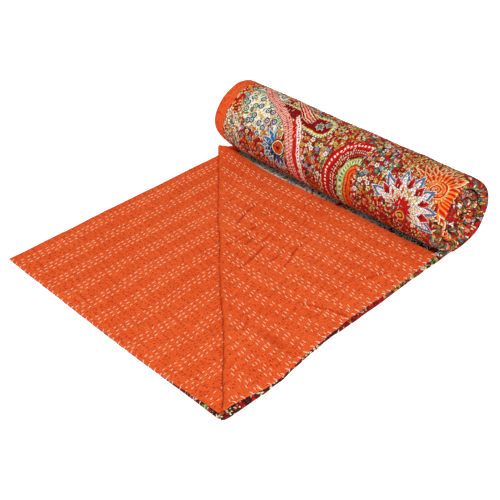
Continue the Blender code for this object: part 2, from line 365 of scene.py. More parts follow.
def place_flap(share, across, offset):
    """The turned-back corner. share: a row, from the front corner, 0, to the open edge, 1.
    across: from the diagonal fold, 0, to the free end, 1."""
    share, across = np.broadcast_arrays(share, across)
    fold, _ = diagonal_at(share)
    end_y = share * read(FLAP_BACK, HALF_WIDTH)
    x = fold[..., 0] + (read(FLAP_SIDE, end_y) - fold[..., 0]) * across
    y = fold[..., 1] + (end_y - fold[..., 1]) * across
    (_, back_y), _ = diagonal_at(1.0)
    back = read(FLAP_BACK, x) - back_y - (read(FLAP_BACK, HALF_WIDTH) - back_y) * across
    y = y + share ** 8 * back * ease(across / 0.04)
    swell = 0.0010 * unevenness(x, y, 0.085, 21) + 0.0006 * unevenness(x, y, 0.035, 22)
    lift = swell * ease(across / 0.05) - crease_depth(x, y) + shoulder(share, across)
    z = FOLD_HEIGHT + HALF_PLY + AIR / 2 + lift + offset
    return np.stack((x, y, z), axis=-1)


def flap_row(u):
    """Length of a row on the turned-back corner, from its free end to the diagonal fold."""
    fold, _ = diagonal_at(1 - np.asarray(u) / LEAF_END)
    return FLAP_END - fold[..., 0]


def place_diagonal_fold(share, bend, radius):
    """bend goes from the flat upper leaf, -1, round the fold to the turned-back corner, 1."""
    share, bend = np.broadcast_arrays(share, bend)
    fold, inward = diagonal_at(share)
    angle = bend * math.pi / 2
    plan = fold - inward * (radius * np.cos(angle))[..., None]
    lift = shoulder(share, 0 * share) * (0.5 + 0.5 * bend)
    return np.concatenate((plan, (FOLD_HEIGHT + lift + radius * np.sin(angle))[..., None]), axis=-1)


def place_upper_flat(u, share, height):
    """The upper leaf between the diagonal fold, share 0, and the roll, share 1."""
    u, share = np.broadcast_arrays(u, share)
    fold, _ = diagonal_at(1 - u / LEAF_END)
    y = fold[..., 1] + (roll_axis_y(u) - fold[..., 1]) * share
    right = read(LONG_FOLD, y) - PRESSED_NOSE
    x = right * u / LEAF_END
    start = (read(LONG_FOLD, fold[..., 1]) - PRESSED_NOSE) * u / LEAF_END
    x = x + (fold[..., 0] - start) * (1 - ease(share * 1.5))
    return np.stack(np.broadcast_arrays(x, y, height), axis=-1)


def put(name, data):
    """An object in the scene."""
    made = bpy.data.objects.new(name, data)
    bpy.context.scene.collection.objects.link(made)
    return made


def new_mesh(name, points, faces):
    """A mesh of points in metres."""
    data = bpy.data.meshes.new(name)
    data.from_pydata([tuple(map(float, p)) for p in points], [], faces)
    return data


class Cloth:
    """Patches of one cloth, each a grid of points with its flat place in metres."""

    def __init__(self):
        self.patches = []

    def lay(self, points, across, along, flip=False):
        """across and along are the unfolded cloth's own measures at each point."""
        across, along = (np.broadcast_to(m, points.shape[:2]) for m in (across, along))
        self.patches.append((points + corner, across, along, flip))

    def sew(self, name):
        """The piece: all patches joined along their edges, with their flat places."""
        points, measures, faces = [], [], []
        for grid, across, along, flip in self.patches:
            start = len(points)
            rows, columns = grid.shape[:2]
            points.extend(grid.reshape(-1, 3))
            measures.extend(zip(across.ravel(), along.ravel()))
            for i in range(rows - 1):
                for j in range(columns - 1):
                    a = start + i * columns + j
                    quad = (a, a + 1, a + columns + 1, a + columns)
                    faces.append(quad[::-1] if flip else quad)
        data = new_mesh(name, points, faces)
        flat = data.uv_layers.new(name="flat_cloth")
        order = np.array([v for face in faces for v in face])
        flat.uv.foreach_set("vector", np.array(measures, dtype=np.float32)[order].ravel())
        mesh = bmesh.new()
        mesh.from_mesh(data)
        bmesh.ops.remove_doubles(mesh, verts=mesh.verts, dist=0.00001)
        mesh.to_mesh(data)
        mesh.free()
        data.shade_smooth()
        return put(name, data)


# steps in from a sewn edge: in metres, and as shares of a row that is short
EDGE_STEPS, EDGE_SHARES = (0, 0.0003, 0.0010, 0.0021), (0, 0.02, 0.06, 0.12)


def from_edge(distances):
    """Steps in from a sewn edge, close together where it is rounded."""
    return np.concatenate((EDGE_STEPS, distances))


def fine(start, end, step):
    """Even steps, about this long."""
    return np.linspace(start, end, max(2, round((end - start) / step) + 1))


ROW_STEP = ROW_PITCH / 3
fine_u = from_edge(np.append(np.arange(1, 225) * ROW_STEP, LEAF_END))
coarse_u = from_edge(np.concatenate((fine(0.006, 0.040, 0.0085), fine(0.07, 0.66, 0.08),
                                     fine(0.69, LEAF_END, 0.0115))))
flat_share = from_edge(fine(0.005, FLAT_LENGTH, 0.005)) / FLAT_LENGTH
outer_turn = fine(0.0, 1.0, 0.0095)
inner_turns = np.concatenate((fine(1.0, 2.0, 1 / 44), fine(2.0, LAST_TURN, 1 / 30)[1:]))


# --- Its faces and its hem ---
HEM_WIDTH = 0.042
HEM_LIFT = 0.0004            # of the hem's face over the print
HEM_LIP = 0.0009
FOLD_WRAP = 0.012            # of v, from the middle of the diagonal fold to its ends
DIAGONAL_LENGTH = 0.715      # of v, from the front corner to the open edge
BLUNT_END = 0.013            # of the long fold, where it meets the free end

back = Cloth()


def lower_orange(u, v):
    """The orange face of the flat lower leaf."""
    u, v = np.broadcast_arrays(u, v)
    edge = np.minimum(u, v)
    swell = puff(u, v, 31) + 0.0006 * (1 + unevenness(u, v, 0.07, 33)) * ease(edge / 0.02)
    swell = swell - 0.0008 * ease((v / FLAT_LENGTH - 0.93) / 0.05)
    return place_flat(u, v / FLAT_LENGTH, HALF_PLY + rim(edge) * (1 + swell / HALF_PLY))


def lay_leaf(face, reach, count, across_of, flip=False):
    """A leaf from its sewn free end to a slanting line, with half the rows where it is short."""
    edge_steps, edge_shares = np.array((EDGE_STEPS, EDGE_SHARES))[:, :, None]
    halfway = len(fine_u) // 2
    for columns, rows in ((fine_u[:halfway + 1], count), (fine_u[halfway:], count // 2)):
        limit = reach(columns)
        edge = np.minimum(edge_steps, limit * edge_shares)
        start = np.minimum(0.004, 0.25 * limit)
        v = np.concatenate((edge, start + (limit - start) * np.linspace(0, 1, rows + 1)[:, None]))
        u = np.broadcast_to(columns, v.shape)
        points = face(u, v)
        if rows == count:
            points[5:-1:2, -1] = (points[4:-2:2, -1] + points[6::2, -1]) / 2
        back.lay(points, across_of(u), v, flip)


def round_fold(count, along):
    """Steps round the long fold, from lower leaf, -1, to upper, 1, with their reach and rise."""
    bend, along = np.meshgrid(np.linspace(-1, 1, count), along)
    return bend, along, np.cos(bend * math.pi / 2), np.sin(bend * math.pi / 2)


def bare_length(u):
    """Of a row on the lower leaf, up to a little under the turned-back corner."""
    return diagonal_at(1 - u / LEAF_END)[0][..., 1] + 0.03


# lower leaf, flat, then in the roll
lay_leaf(lower_orange, bare_length, 150, lambda u: u)
u, share = np.meshgrid(fine_u[::4], np.linspace(0, 1, 24))
v = bare_length(u) + (FLAT_LENGTH - bare_length(u)) * share
back.lay(lower_orange(u, v), u, v)
for turns_of in (outer_turn[::3], inner_turns):
    u, turns = np.meshgrid(coarse_u, turns_of)
    lower, upper = leaf_depths(u, turns)
    x = rolled_x(u, turns)
    back.lay(place_rolled(x, turns, lower + HALF_PLY + rim(u)), u, wound_length(turns, HALF_PLY))
    back.lay(place_rolled(x, turns, upper - HALF_PLY - rim(u)), FULL_WIDTH - u,
             wound_length(turns, FOLDED - HALF_PLY), flip=True)
    # inside of the long fold, in the roll
    bend, turns, reach, rise = round_fold(7, turns_of)
    lower, upper = leaf_depths(LEAF_END, turns)
    x = rolled_x(LEAF_END, turns) + (ROLLED_NOSE - PLY) * reach
    middle = (upper + lower) / 2 + ((upper - lower) / 2 - PLY) * rise
    back.lay(place_rolled(x, turns, middle), HALF_WIDTH + bend * PRESSED_NOSE,
             wound_length(turns, FOLDED / 2))


def rounded_end(share):
    """How far the long fold reaches out, 0 to 1, over its blunt end."""
    return np.sqrt(1 - np.clip(1 - share * FLAT_LENGTH / BLUNT_END, 0, 1) ** 2)


# inside of the long fold, flat
bend, share, reach, rise = round_fold(5, flat_share[::6])
points = place_flat(LEAF_END, share, FOLDED / 2 + AIR / 2 * rise)
points[..., 0] += (PRESSED_NOSE - PLY) * rounded_end(share) * reach
back.lay(points, HALF_WIDTH + bend * PRESSED_NOSE, share * FLAT_LENGTH)

# upper leaf: flat under side, diagonal fold, turned-back corner
u, share = np.meshgrid(coarse_u, fine(0, 1, 0.05))
height = FOLDED - HALF_PLY - rim(u)
points = place_upper_flat(u, share, height)
back.lay(points, FULL_WIDTH - u, points[..., 1], flip=True)
row_share = 1 - fine_u[::-1] / LEAF_END
row_share[0], row_share[-1] = 0.0, 1.0
bend, share = np.meshgrid(np.linspace(-1, 1, 11), row_share)
u = (1 - share) * LEAF_END
swollen = puff(u, flap_row(u) - FOLD_WRAP * bend, 41, turned=True) * (0.35 + 0.65 * np.abs(bend))
points = place_diagonal_fold(share, bend, FOLD_MIDDLE + rim(u) + swollen * rim(u) / HALF_PLY)
back.lay(points, FULL_WIDTH - u, DIAGONAL_LENGTH * share - FOLD_WRAP * bend, flip=True)


def flap_orange(u, v):
    """The orange face of the turned-back corner."""
    u, v = np.broadcast_arrays(u, v)
    edge = np.minimum(u, v)
    body = rim(edge) * (1 + puff(u, v, 41, turned=True) / HALF_PLY)
    return place_flap(1 - u / LEAF_END, 1 - v / flap_row(u), body)


lay_leaf(flap_orange, flap_row, 260, lambda u: FULL_WIDTH - u, flip=True)


def hem_place(count):
    """Steps across the hem from the sewn edge to its free fold, and the lift of its face."""
    steps = from_edge(np.append(np.linspace(ROW_STEP, HEM_WIDTH, count), HEM_WIDTH + 0.0006))
    lift = np.full(len(steps), HEM_LIFT)
    lift[0] = 0.0
    lift[-1] = -HEM_LIP
    return steps, lift


def lay_hem(count, turns_of):
    """The hem on the print face of both rolled leaves."""
    steps, lift = hem_place(count)
    u, turns = np.meshgrid(steps, turns_of)
    lift = np.broadcast_to(lift, u.shape)
    ragged = 0.0016 * wobble(turns * 9, 0.31, 51) + 0.0012 * wobble(turns * 9, 0.09, 54)
    u = u + u / HEM_WIDTH * ragged
    lower, upper = leaf_depths(u, turns)
    x = rolled_x(u, turns)
    v = wound_length(turns, HALF_PLY)
    swollen = puff(u, v, 52) * rim(u) / HALF_PLY * ease(turns / 0.05)
    back.lay(place_rolled(x, turns, lower + HALF_PLY - rim(u) - lift - swollen), -u, v, flip=True)
    back.lay(place_rolled(x, turns, upper - HALF_PLY + rim(u) + lift), FULL_WIDTH + u, v)


# hem, turned over the print along the open edges
lay_hem(13, outer_turn)
lay_hem(5, inner_turns)
steps, lift = hem_place(5)
u, share = np.meshgrid(steps, flat_share[::2])
lift = np.broadcast_to(lift, u.shape)
v = share * FLAT_LENGTH
height = np.maximum(HALF_PLY - rim(np.minimum(u, v)) - lift, 0.0)
back.lay(place_flat(u, share, height), -u, v, flip=True)
u, share = np.meshgrid(steps, fine(0, 1, 0.08))
points = place_upper_flat(u, share, FOLDED - HALF_PLY + rim(u) + lift[0])
back.lay(points, FULL_WIDTH + u, points[..., 1])
across, step = np.meshgrid(np.linspace(0, 1, 90), steps)
v = (1 - across) * (FLAP_END - DIAGONAL[0][0])
below = rim(np.minimum(step, v)) + np.minimum(lift[0][:, None], 0.0002)
back.lay(place_flap(1 - step / LEAF_END, across, -below), FULL_WIDTH + step, v, flip=True)

orange_back = back.sew("orange_back")

# painted shade: the creases of the turned-back corner, and its fold, are a little darker in colour
places = np.empty(len(orange_back.data.vertices) * 3, dtype=np.float32)
orange_back.data.vertices.foreach_get("co", places)
x, y, z = (places.reshape(-1, 3) - corner).T
# the two below set the painted shade of the creases and of the line along the diagonal fold
CREASE_FULL = 0.0032         # depth from which a crease is darkest
FOLD_SHADE_WIDTH = 0.0042        # half width of the line along the diagonal fold
crease_shade = np.clip(crease_depth(x, y) / CREASE_FULL, 0, 0.9) * (z > FOLD_HEIGHT - 0.001)
# a broken line of painted shade along the diagonal fold
fold_shade = np.exp(-((gap_to(DIAGONAL, x, y) - 0.001) / FOLD_SHADE_WIDTH) ** 2) * (z > HALF_PLY)
crease_shade = np.maximum(crease_shade, fold_shade * np.clip(0.60 * unevenness(x, y, 0.006, 13) - 0.05, 0, 0.8))
crease_shade_values = orange_back.data.attributes.new("crease_shade", "FLOAT", "POINT").data
crease_shade_values.foreach_set("value", crease_shade.astype(np.float32))


# --- Cotton finish of the orange back -------------------------------------------------------
# Plain weave cotton, washed soft: fine threads, dents along the rows, small puckers and a
# little fading. Both cloths share the weave and the puckers.
THREAD_PITCH = 0.0009
SLUB, CRUMPLE, WRINKLE, SPECK, FADING = 900.0, 130.0, 85.0, 300.0, 7.0     # how dense, per metre
ORANGE = (0.730, 0.084, 0.016)
# the next two colours: the dark orange of the painted shade in creases and in the puckers' hollows, and of
# dark mottle; the pale orange of fading, of pale mottle and of the painted highlight on the puckers' rises
ORANGE_SHADE_AND_MOTTLE = (0.470, 0.030, 0.004)
ORANGE_FADED_AND_LIT = (0.860, 0.170, 0.042)
SOCKET_KINDS = {"Flat": "NodeSocketVector", "Colour": "NodeSocketColor"}   # all others are numbers


class Gauge:
    """A measure over the cloth. Sums of gauges become Math nodes."""

    def __init__(self, tree, socket):
        self.tree, self.socket = tree, socket

    def step(self, operation, *others):
        """A Math node on this gauge and the others."""
        made = self.tree.nodes.new("ShaderNodeMath")
        made.operation = operation
        for slot, value in zip(made.inputs, (self, *others)):
            set_or_link(self.tree, value, slot)
        return Gauge(self.tree, made.outputs[0])

    def between(self, low, high):
        return self.above(low) * self.below(high)


for word, operation in (
        ("__add__", "ADD"), ("__sub__", "SUBTRACT"), ("__mul__", "MULTIPLY"), ("__truediv__", "DIVIDE"),
        ("above", "GREATER_THAN"), ("below", "LESS_THAN"), ("at_least", "MAXIMUM"), ("at_most", "MINIMUM"),
        ("power", "POWER"), ("root", "SQRT"), ("size", "ABSOLUTE"), ("whole", "FLOOR"), ("part", "FRACT"),
        ("wrap", "WRAP"), ("sine", "SINE"), ("cosine", "COSINE"), ("angle", "ARCTAN2")):
    setattr(Gauge, word, partialmethod(Gauge.step, operation))


def set_or_link(tree, value, slot):
    """Gives an input its value, or a link from a gauge or an output."""
    if isinstance(value, Gauge):
        tree.links.new(value.socket, slot)
    elif isinstance(value, bpy.types.NodeSocket):
        tree.links.new(value, slot)
    elif hasattr(slot.default_value, "__len__") and len(slot.default_value) == 4:
        slot.default_value = (*value[:3], 1.0)
    else:
        slot.default_value = value


def node(tree, kind, settings=None, **inputs):
    """A node with its settings, and its inputs by name."""
    made = tree.nodes.new("ShaderNode" + kind)
    for name, value in (settings or {}).items():
        setattr(made, name, value)
    for name, value in inputs.items():
        set_or_link(tree, value, made.inputs[name.replace("_", " ")])
    return made


def noise(tree, place, scale, detail, **more):
    """Soft noise over the cloth, 0 to 1."""
    made = node(tree, "TexNoise", Vector=place, Scale=scale, Detail=detail, **more)
    return Gauge(tree, made.outputs["Fac"])


def parts_of(tree, socket):
    """The three parts of a vector or a colour."""
    if socket.type == "RGBA":
        made = node(tree, "SeparateColor", Color=socket)
    else:
        made = node(tree, "SeparateXYZ", Vector=socket)
    return [Gauge(tree, part) for part in made.outputs]


def new_group(name, inputs, outputs):
    """A shader node group, with what it is given and the node that takes its results."""
    group = bpy.data.node_groups.new(name, "ShaderNodeTree")
    for way, sockets in (("INPUT", inputs), ("OUTPUT", outputs)):
        for socket in sockets:
            kind = SOCKET_KINDS.get(socket, "NodeSocketFloat")
            group.interface.new_socket(socket, in_out=way, socket_type=kind)
    given = group.nodes.new("NodeGroupInput").outputs
    return group, [Gauge(group, given[name]) for name in inputs], group.nodes.new("NodeGroupOutput")


def close_group(group, end, *results):
    """Hands a group's results to its end node."""
    for slot, value in zip(end.inputs, results):
        set_or_link(group, value, slot)
    return group


def place_group(tree, group, **inputs):
    """Outputs of a group that is put to use."""
    return node(tree, "Group", {"node_tree": group}, **inputs).outputs


def make_quilted_cotton():
    """Weave and puckers of quilted cotton, from its flat measures, with a mottle that is partly painted shade
    and highlight, and fading.
    """
    group, (flat, pucker), end = new_group(
        "quilted_cotton", ("Flat", "Pucker"), ("Height", "Dark Mottle And Shade", "Light Mottle And Highlight", "Fade"))
    across, along, _ = parts_of(group, flat.socket)
    threads = 2 * math.pi / THREAD_PITCH
    slub = noise(group, flat, SLUB, 2.0)
    weave = (across * threads).sine() * (along * threads).sine() * 0.00003 + slub * 0.00008
    long_way = node(group, "Mapping", Vector=flat, Scale=(1.0, 0.45, 1.0)).outputs["Vector"]
    crumple = noise(group, long_way, CRUMPLE, 3.0, Roughness=0.6, Distortion=0.4) - 0.5
    cross_way = node(group, "Mapping", Vector=flat, Scale=(0.32, 1.0, 1.0)).outputs["Vector"]
    wrinkle = noise(group, cross_way, WRINKLE, 2.0, Distortion=0.9) - 0.5
    speck = noise(group, flat, SPECK, 2.0) - 0.5
    height = weave + (crumple * 0.0030 + wrinkle * 0.0055) * pucker
    uneven = crumple * 1.4 + wrinkle * 1.2 + speck * 4.2
    # dark and light mottle: partly random tone, and partly painted light from the crumple and wrinkle of the
    # puckers, with painted shade in their hollows and painted highlight on their rises
    dark_mottle_and_shade, light_mottle_and_highlight = (uneven * -0.85).at_least(0.0), (uneven * 0.75).at_least(0.0)
    return close_group(group, end, height, dark_mottle_and_shade, light_mottle_and_highlight, noise(group, flat, FADING, 3.0))


quilted_cotton = make_quilted_cotton()


def new_material(name, **settings):
    """A material with its tree and its shader, which takes the settings."""
    material = bpy.data.materials.new(name)
    material.use_nodes = True
    shader = material.node_tree.nodes["Principled BSDF"]
    for slot, value in settings.items():
        shader.inputs[slot.replace("_", " ")].default_value = value
    return material, material.node_tree, shader


def start_cloth(name, pucker):
    """A cloth material, and the shared weave and puckers that feed it."""
    material, tree, shader = new_material(
        name, Roughness=0.88, Specular_IOR_Level=0.02, Sheen_Weight=0.01, Sheen_Roughness=0.45)
    flat = node(tree, "UVMap", {"uv_map": "flat_cloth"}).outputs["UV"]
    cotton = place_group(tree, quilted_cotton, Flat=flat, Pucker=pucker)
    bump = node(tree, "Bump", Height=cotton["Height"], Distance=1.0, Strength=1.0)
    tree.links.new(bump.outputs["Normal"], shader.inputs["Normal"])
    return material, tree, shader, flat, cotton


def mix(tree, share, low, high):
    """A colour between two, or the second laid over the first."""
    made = node(tree, "Mix", {"data_type": "RGBA"}, Factor=share)
    set_or_link(tree, low, made.inputs[6])
    set_or_link(tree, high, made.inputs[7])
    return made.outputs[2]


orange_cotton, tree, shader, flat, cotton = start_cloth("orange_cotton", 1.0)
fade = (Gauge(tree, cotton["Fade"]) - 0.35) * 0.8
colour = mix(tree, fade, ORANGE, ORANGE_FADED_AND_LIT)
# painted highlight on the puckers' rises and painted shade in their hollows, mixed with random mottle
colour = mix(tree, cotton["Light Mottle And Highlight"], colour, ORANGE_FADED_AND_LIT)
colour = mix(tree, cotton["Dark Mottle And Shade"], colour, ORANGE_SHADE_AND_MOTTLE)
# painted shade in the creases of the turned-back corner and in a broken line along its diagonal fold
crease_shade_factor = node(tree, "Attribute", {"attribute_name": "crease_shade"}).outputs["Fac"]
colour = mix(tree, crease_shade_factor, colour, ORANGE_SHADE_AND_MOTTLE)
tree.links.new(colour, shader.inputs["Base Color"])
orange_back.data.materials.append(orange_cotton)
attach(orange_back, "root")
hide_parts("quilt")


# === Printed front ==========================================================================
# The printed cotton front, on the outside of the fold and the roll. Its open edges lie under
# the orange hem. At the free end it is rolled a little over the orange near the long fold.
FLAP_REACH = 0.768           # longest row of the turned-back corner
STRIP_START = 0.690          # of the upper leaf, where it comes out from under that corner
HEM_PRESS = 0.0006           # how far the hem sinks into the print
PRINT_ROLL = ((0.0, 0.0004), (0.585, 0.0004), (0.625, 0.003), (0.69, 0.008), (0.76, 0.011))

front = Cloth()


def under_hem(u):
    """The print is pressed down by the hem that covers its edge."""
    return HEM_PRESS * (1 - ease((u - HEM_WIDTH - 0.0015) / 0.002))


# lower leaf, flat
u, share = np.meshgrid(coarse_u, flat_share[::3])
v = share * FLAT_LENGTH
front.lay(place_flat(u, share, HALF_PLY - rim(np.minimum(u, v))), u, v, flip=True)


def print_swell(u, v):
    """Height of the rolled print over its mean face."""
    return puff(u, v, 61) + 0.0011 * unevenness(u, v, 0.075, 62) + 0.0006 * unevenness(u, v, 0.03, 63)


def rolled_print(u, turns):
    """The printed face of the lower leaf, in the roll."""
    u, turns = np.broadcast_arrays(u, turns)
    lower, _ = leaf_depths(u, turns)
    swell = print_swell(u, wound_length(turns, HALF_PLY)) * ease((turns - 0.02) / 0.05)
    depth = lower + HALF_PLY - rim(u) * (1 + swell / HALF_PLY) + under_hem(u)
    return place_rolled(rolled_x(u, turns), turns, depth)


# lower leaf in the roll: its outer turn shows, the inner ones are seen at the ends
for columns, turns_of in ((fine_u, outer_turn), (coarse_u, inner_turns)):
    u, turns = np.meshgrid(columns, turns_of)
    front.lay(rolled_print(u, turns), u, wound_length(turns, HALF_PLY), flip=True)
    if columns is fine_u:
        u, turns = np.meshgrid(coarse_u, turns_of[::3])
    _, upper = leaf_depths(u, turns)
    depth = upper - HALF_PLY + rim(u) - under_hem(u)
    front.lay(place_rolled(rolled_x(u, turns), turns, depth), FULL_WIDTH - u,
              wound_length(turns, FOLDED - HALF_PLY))
    # rolled long fold
    bend, turns, reach, rise = round_fold(13, turns_of)
    lower, upper = leaf_depths(LEAF_END, turns)
    v = wound_length(turns, FOLDED / 2)
    nose = ROLLED_NOSE + 0.0025 * wobble(v, 0.045, 64)
    x = rolled_x(LEAF_END, turns) + nose * reach
    depth = (upper + lower) / 2 + (upper - lower) / 2 * rise
    on_end = np.full_like(turns, LEAF_END), wound_length(turns, HALF_PLY)
    swollen = print_swell(*on_end) if columns is fine_u else puff(*on_end, 61)
    depth = depth - swollen * ease((turns - 0.02) / 0.05) * ease(-bend)
    front.lay(place_rolled(x, turns, depth), HALF_WIDTH + bend * PRESSED_NOSE, v, flip=True)

# pressed long fold
bend, share, reach, rise = round_fold(13, flat_share)
v = share * FLAT_LENGTH
nose = PRESSED_NOSE + 0.0016 * wobble(v, 0.028, 65)
points = place_flat(LEAF_END, share, FOLDED / 2 + FOLDED / 2 * rise)
points[..., 0] += nose * rounded_end(share) * reach
front.lay(points, HALF_WIDTH + bend * PRESSED_NOSE, v, flip=True)

# upper leaf, flat: a strip of it shows between the turned-back corner and the roll
u, share = np.meshgrid(coarse_u, fine(0, 1, 0.04))
points = place_upper_flat(u, share, FOLDED - HALF_PLY + rim(u) - under_hem(u) - 0.0004)
front.lay(points, FULL_WIDTH - u, points[..., 1])
u, share = np.meshgrid(fine_u, np.linspace(0, 1, 17))
fold, _ = diagonal_at(1 - u / LEAF_END)
begin = np.clip((STRIP_START - fold[..., 1]) / (roll_axis_y(u) - fold[..., 1]), 0, 1)
share = begin + (1 - begin) * share
points = place_upper_flat(u, share, 0.0)
v = FLAT_LENGTH * points[..., 1] / roll_axis_y(u)
swollen = np.maximum(puff(u, v, 66), -0.0004) * rim(u) / HALF_PLY
points[..., 2] = FOLDED - HALF_PLY + rim(u) - under_hem(u) + swollen * (1 - ease((share - 0.93) / 0.05))
front.lay(points, FULL_WIDTH - u, v)

# inside of the diagonal fold and under side of the turned-back corner
row_share = 1 - coarse_u[::-1] / LEAF_END
row_share[0], row_share[-1] = 0.0, 1.0
bend, share = np.meshgrid(np.linspace(-1, 1, 5), row_share)
u = (1 - share) * LEAF_END
points = place_diagonal_fold(share, bend, FOLD_MIDDLE - rim(u))
front.lay(points, FULL_WIDTH - u, DIAGONAL_LENGTH * share - 0.003 * bend)
across, share = np.meshgrid(1 - from_edge(fine(0.01, FLAP_REACH, 0.02))[::-1] / FLAP_REACH, row_share)
across[:, 0] = 0.0
u = (1 - share) * LEAF_END
v = (1 - across) * flap_row(u)
edge = np.minimum(u, v)
below = -rim(edge) * 1.25 + under_hem(u) * (edge > 0.003)
front.lay(place_flap(share, across, below), FULL_WIDTH - u, v)

# hem of the print at the free end
u, step = np.meshgrid(fine_u, (0.0, 0.03, 0.09, 0.19, 0.30, 0.45, 0.65, 0.85, 1.0))
v = step * read(PRINT_ROLL, u)
edge = np.minimum(u, v)
height = HALF_PLY + rim(edge) + (0.0009 + 0.0004 * unevenness(u, v, 0.02, 67)) * ease(v / 0.0012)
height = height - 0.0010 * (step > 0.99) * ease(v / 0.004)
front.lay(place_flat(u, v / FLAT_LENGTH, height), u - 0.02, -v)

printed_front = front.sew("printed_front")


# --- Print of the front ---------------------------------------------------------------------
# A dense traditional all-over print: paisleys with dotted borders, an arch, a lotus, a scroll
# and small blooms with dark outlines, in reactive inks on the same soft cotton.
RED, DEEP_RED, ORANGE_INK = (0.56, 0.010, 0.006), (0.20, 0.005, 0.008), (0.72, 0.11, 0.014)
CREAM, PINK, LIME = (0.82, 0.70, 0.42), (0.80, 0.32, 0.24), (0.46, 0.56, 0.12)
TEAL, BLUE, MUSTARD = (0.05, 0.20, 0.21), (0.03, 0.12, 0.30), (0.66, 0.33, 0.05)
LAVENDER, DARK, WHITE = (0.30, 0.31, 0.48), (0.022, 0.014, 0.014), (0.88, 0.84, 0.78)
SKY, BROWN, GREEN = (0.18, 0.40, 0.52), (0.22, 0.07, 0.02), (0.12, 0.24, 0.05)
TIP_BLUE, GOLD, AMBER = (0.04, 0.18, 0.34), (0.74, 0.30, 0.06), (0.74, 0.20, 0.02)
MAROON = (0.26, 0.006, 0.010)
REPEAT_LENGTH, REPEAT_START = 0.60, 0.15
FREE_END_SHIFT = 0.16        # of the repeat, on the print that is rolled over the free end
HAND_WAVER = 0.012
DABS = 165.0                 # per metre


def make_scatter():
    """Small motifs sown over the cloth: one in each cell, turned and inked at random."""
    group, (flat, per_metre, stray), end = new_group(
        "scatter", ("Flat", "Per Metre", "Stray"), ("X", "Y", "Ink", "Pick"))
    cells = node(group, "TexVoronoi", {"voronoi_dimensions": "2D"}, Vector=flat, Scale=per_metre,
                 Randomness=stray).outputs
    off_middle = node(group, "VectorMath", {"operation": "SUBTRACT"})
    set_or_link(group, flat, off_middle.inputs[0])
    set_or_link(group, cells["Position"], off_middle.inputs[1])
    x, y = (part * per_metre for part in parts_of(group, off_middle.outputs["Vector"])[:2])
    chance, pick, turn = parts_of(group, cells["Color"])
    c, s = (turn * 6.28).cosine(), (turn * 6.28).sine()
    return close_group(group, end, x * c + y * s, y * c - x * s, chance, pick)


def make_fan():
    """Leaves that stand round a middle. Inside is how far a point lies within their outline."""
    group, (x, y, step, turn, start, long, wide), end = new_group(
        "fan", ("X", "Y", "Step", "Turn", "Start", "Long", "Wide"), ("Inside", "Leaf"))
    radius = (x * x + y * y).root()
    around = (y.angle(x) - turn) / step
    off_axis = (around.part() - 0.5) * step
    share = ((radius * off_axis.cosine() - start) / long).at_least(0.0).at_most(1.0).power(0.8)
    inside = share * (share * -1.0 + 1.0) * 2.0 * wide - (radius * off_axis.sine()).size()
    return close_group(group, end, inside, around.whole())


def make_inks(name, *inks):
    """Picks one of several inks by chance."""
    group, (chance,), end = new_group(name, ("Ink",), ("Colour",))
    ramp = node(group, "ValToRGB", Fac=chance)
    stops = ramp.color_ramp.elements
    ramp.color_ramp.interpolation = "CONSTANT"
    while len(stops) < len(inks):
        stops.new(1.0)
    for i, ink in enumerate(inks):
        stops[i].position = i / len(inks)
        stops[i].color = (*ink, 1)
    return close_group(group, end, ramp.outputs["Color"])


scatter, fan = make_scatter(), make_fan()
red_inks = make_inks("red_inks", RED, DEEP_RED, RED, ORANGE_INK, CREAM, RED, ORANGE_INK, PINK, RED,
                     BROWN, MUSTARD, DEEP_RED)
orange_inks = make_inks("orange_inks", ORANGE_INK, MUSTARD, RED, ORANGE_INK, CREAM, MUSTARD, DEEP_RED, LIME)
white_inks = make_inks("white_inks", CREAM, WHITE, LIME, CREAM, TEAL, WHITE, MUSTARD, CREAM, GREEN,
                       WHITE, ORANGE_INK)
cool_inks = make_inks("cool_inks", WHITE, SKY, WHITE, TEAL, WHITE, CREAM, WHITE, LIME, CREAM, DARK)
meadow_inks = make_inks("meadow_inks", WHITE, LAVENDER, MUSTARD, PINK, CREAM, TEAL, WHITE, ORANGE_INK, LIME)
ring_inks = make_inks("ring_inks", TEAL, (0.08, 0.14, 0.20), (0.16, 0.26, 0.08), TEAL)
petal_inks = make_inks("petal_inks", RED, MUSTARD, CREAM, ORANGE_INK, DEEP_RED, LIME, RED)
edge_inks = make_inks("edge_inks", DARK, DEEP_RED, DARK, CREAM, DEEP_RED, BROWN, CREAM, DARK, DEEP_RED, RED)
dark_inks = make_inks("dark_inks", DEEP_RED, RED, DARK, RED, BROWN, GREEN, RED, CREAM, TEAL, RED,
                      MUSTARD, ORANGE_INK)

printed_cotton, tree, shader, flat, cotton = start_cloth("printed_cotton", 0.8)
across, along, _ = parts_of(tree, flat)
hand = node(tree, "TexNoise", Vector=flat, Scale=30.0, Detail=2.0)
waver_u, waver_q, _ = parts_of(tree, hand.outputs["Color"])
repeat_u = across.wrap(HALF_WIDTH, 0.0) + (waver_u - 0.5) * HAND_WAVER
repeat_q = ((along - FLAT_LENGTH).wrap(REPEAT_START + REPEAT_LENGTH, REPEAT_START)
            + (waver_q - 0.5) * HAND_WAVER + along.below(0.030) * FREE_END_SHIFT)


def set_motif(u, q, turn=0, size=1.0):
    """Local measures of a motif: its middle on the print, its turn in degrees and its size."""
    c, s = math.cos(math.radians(turn)) / size, math.sin(math.radians(turn)) / size
    x, y = repeat_u - u, repeat_q - q
    return x * c + y * s, y * c - x * s


def within(u, q, turn, long, wide):
    """An oval field of the print."""
    x, y = set_motif(u, q, turn)
    x, y = x / long, y / wide
    return (x * x + y * y).below(1.0)


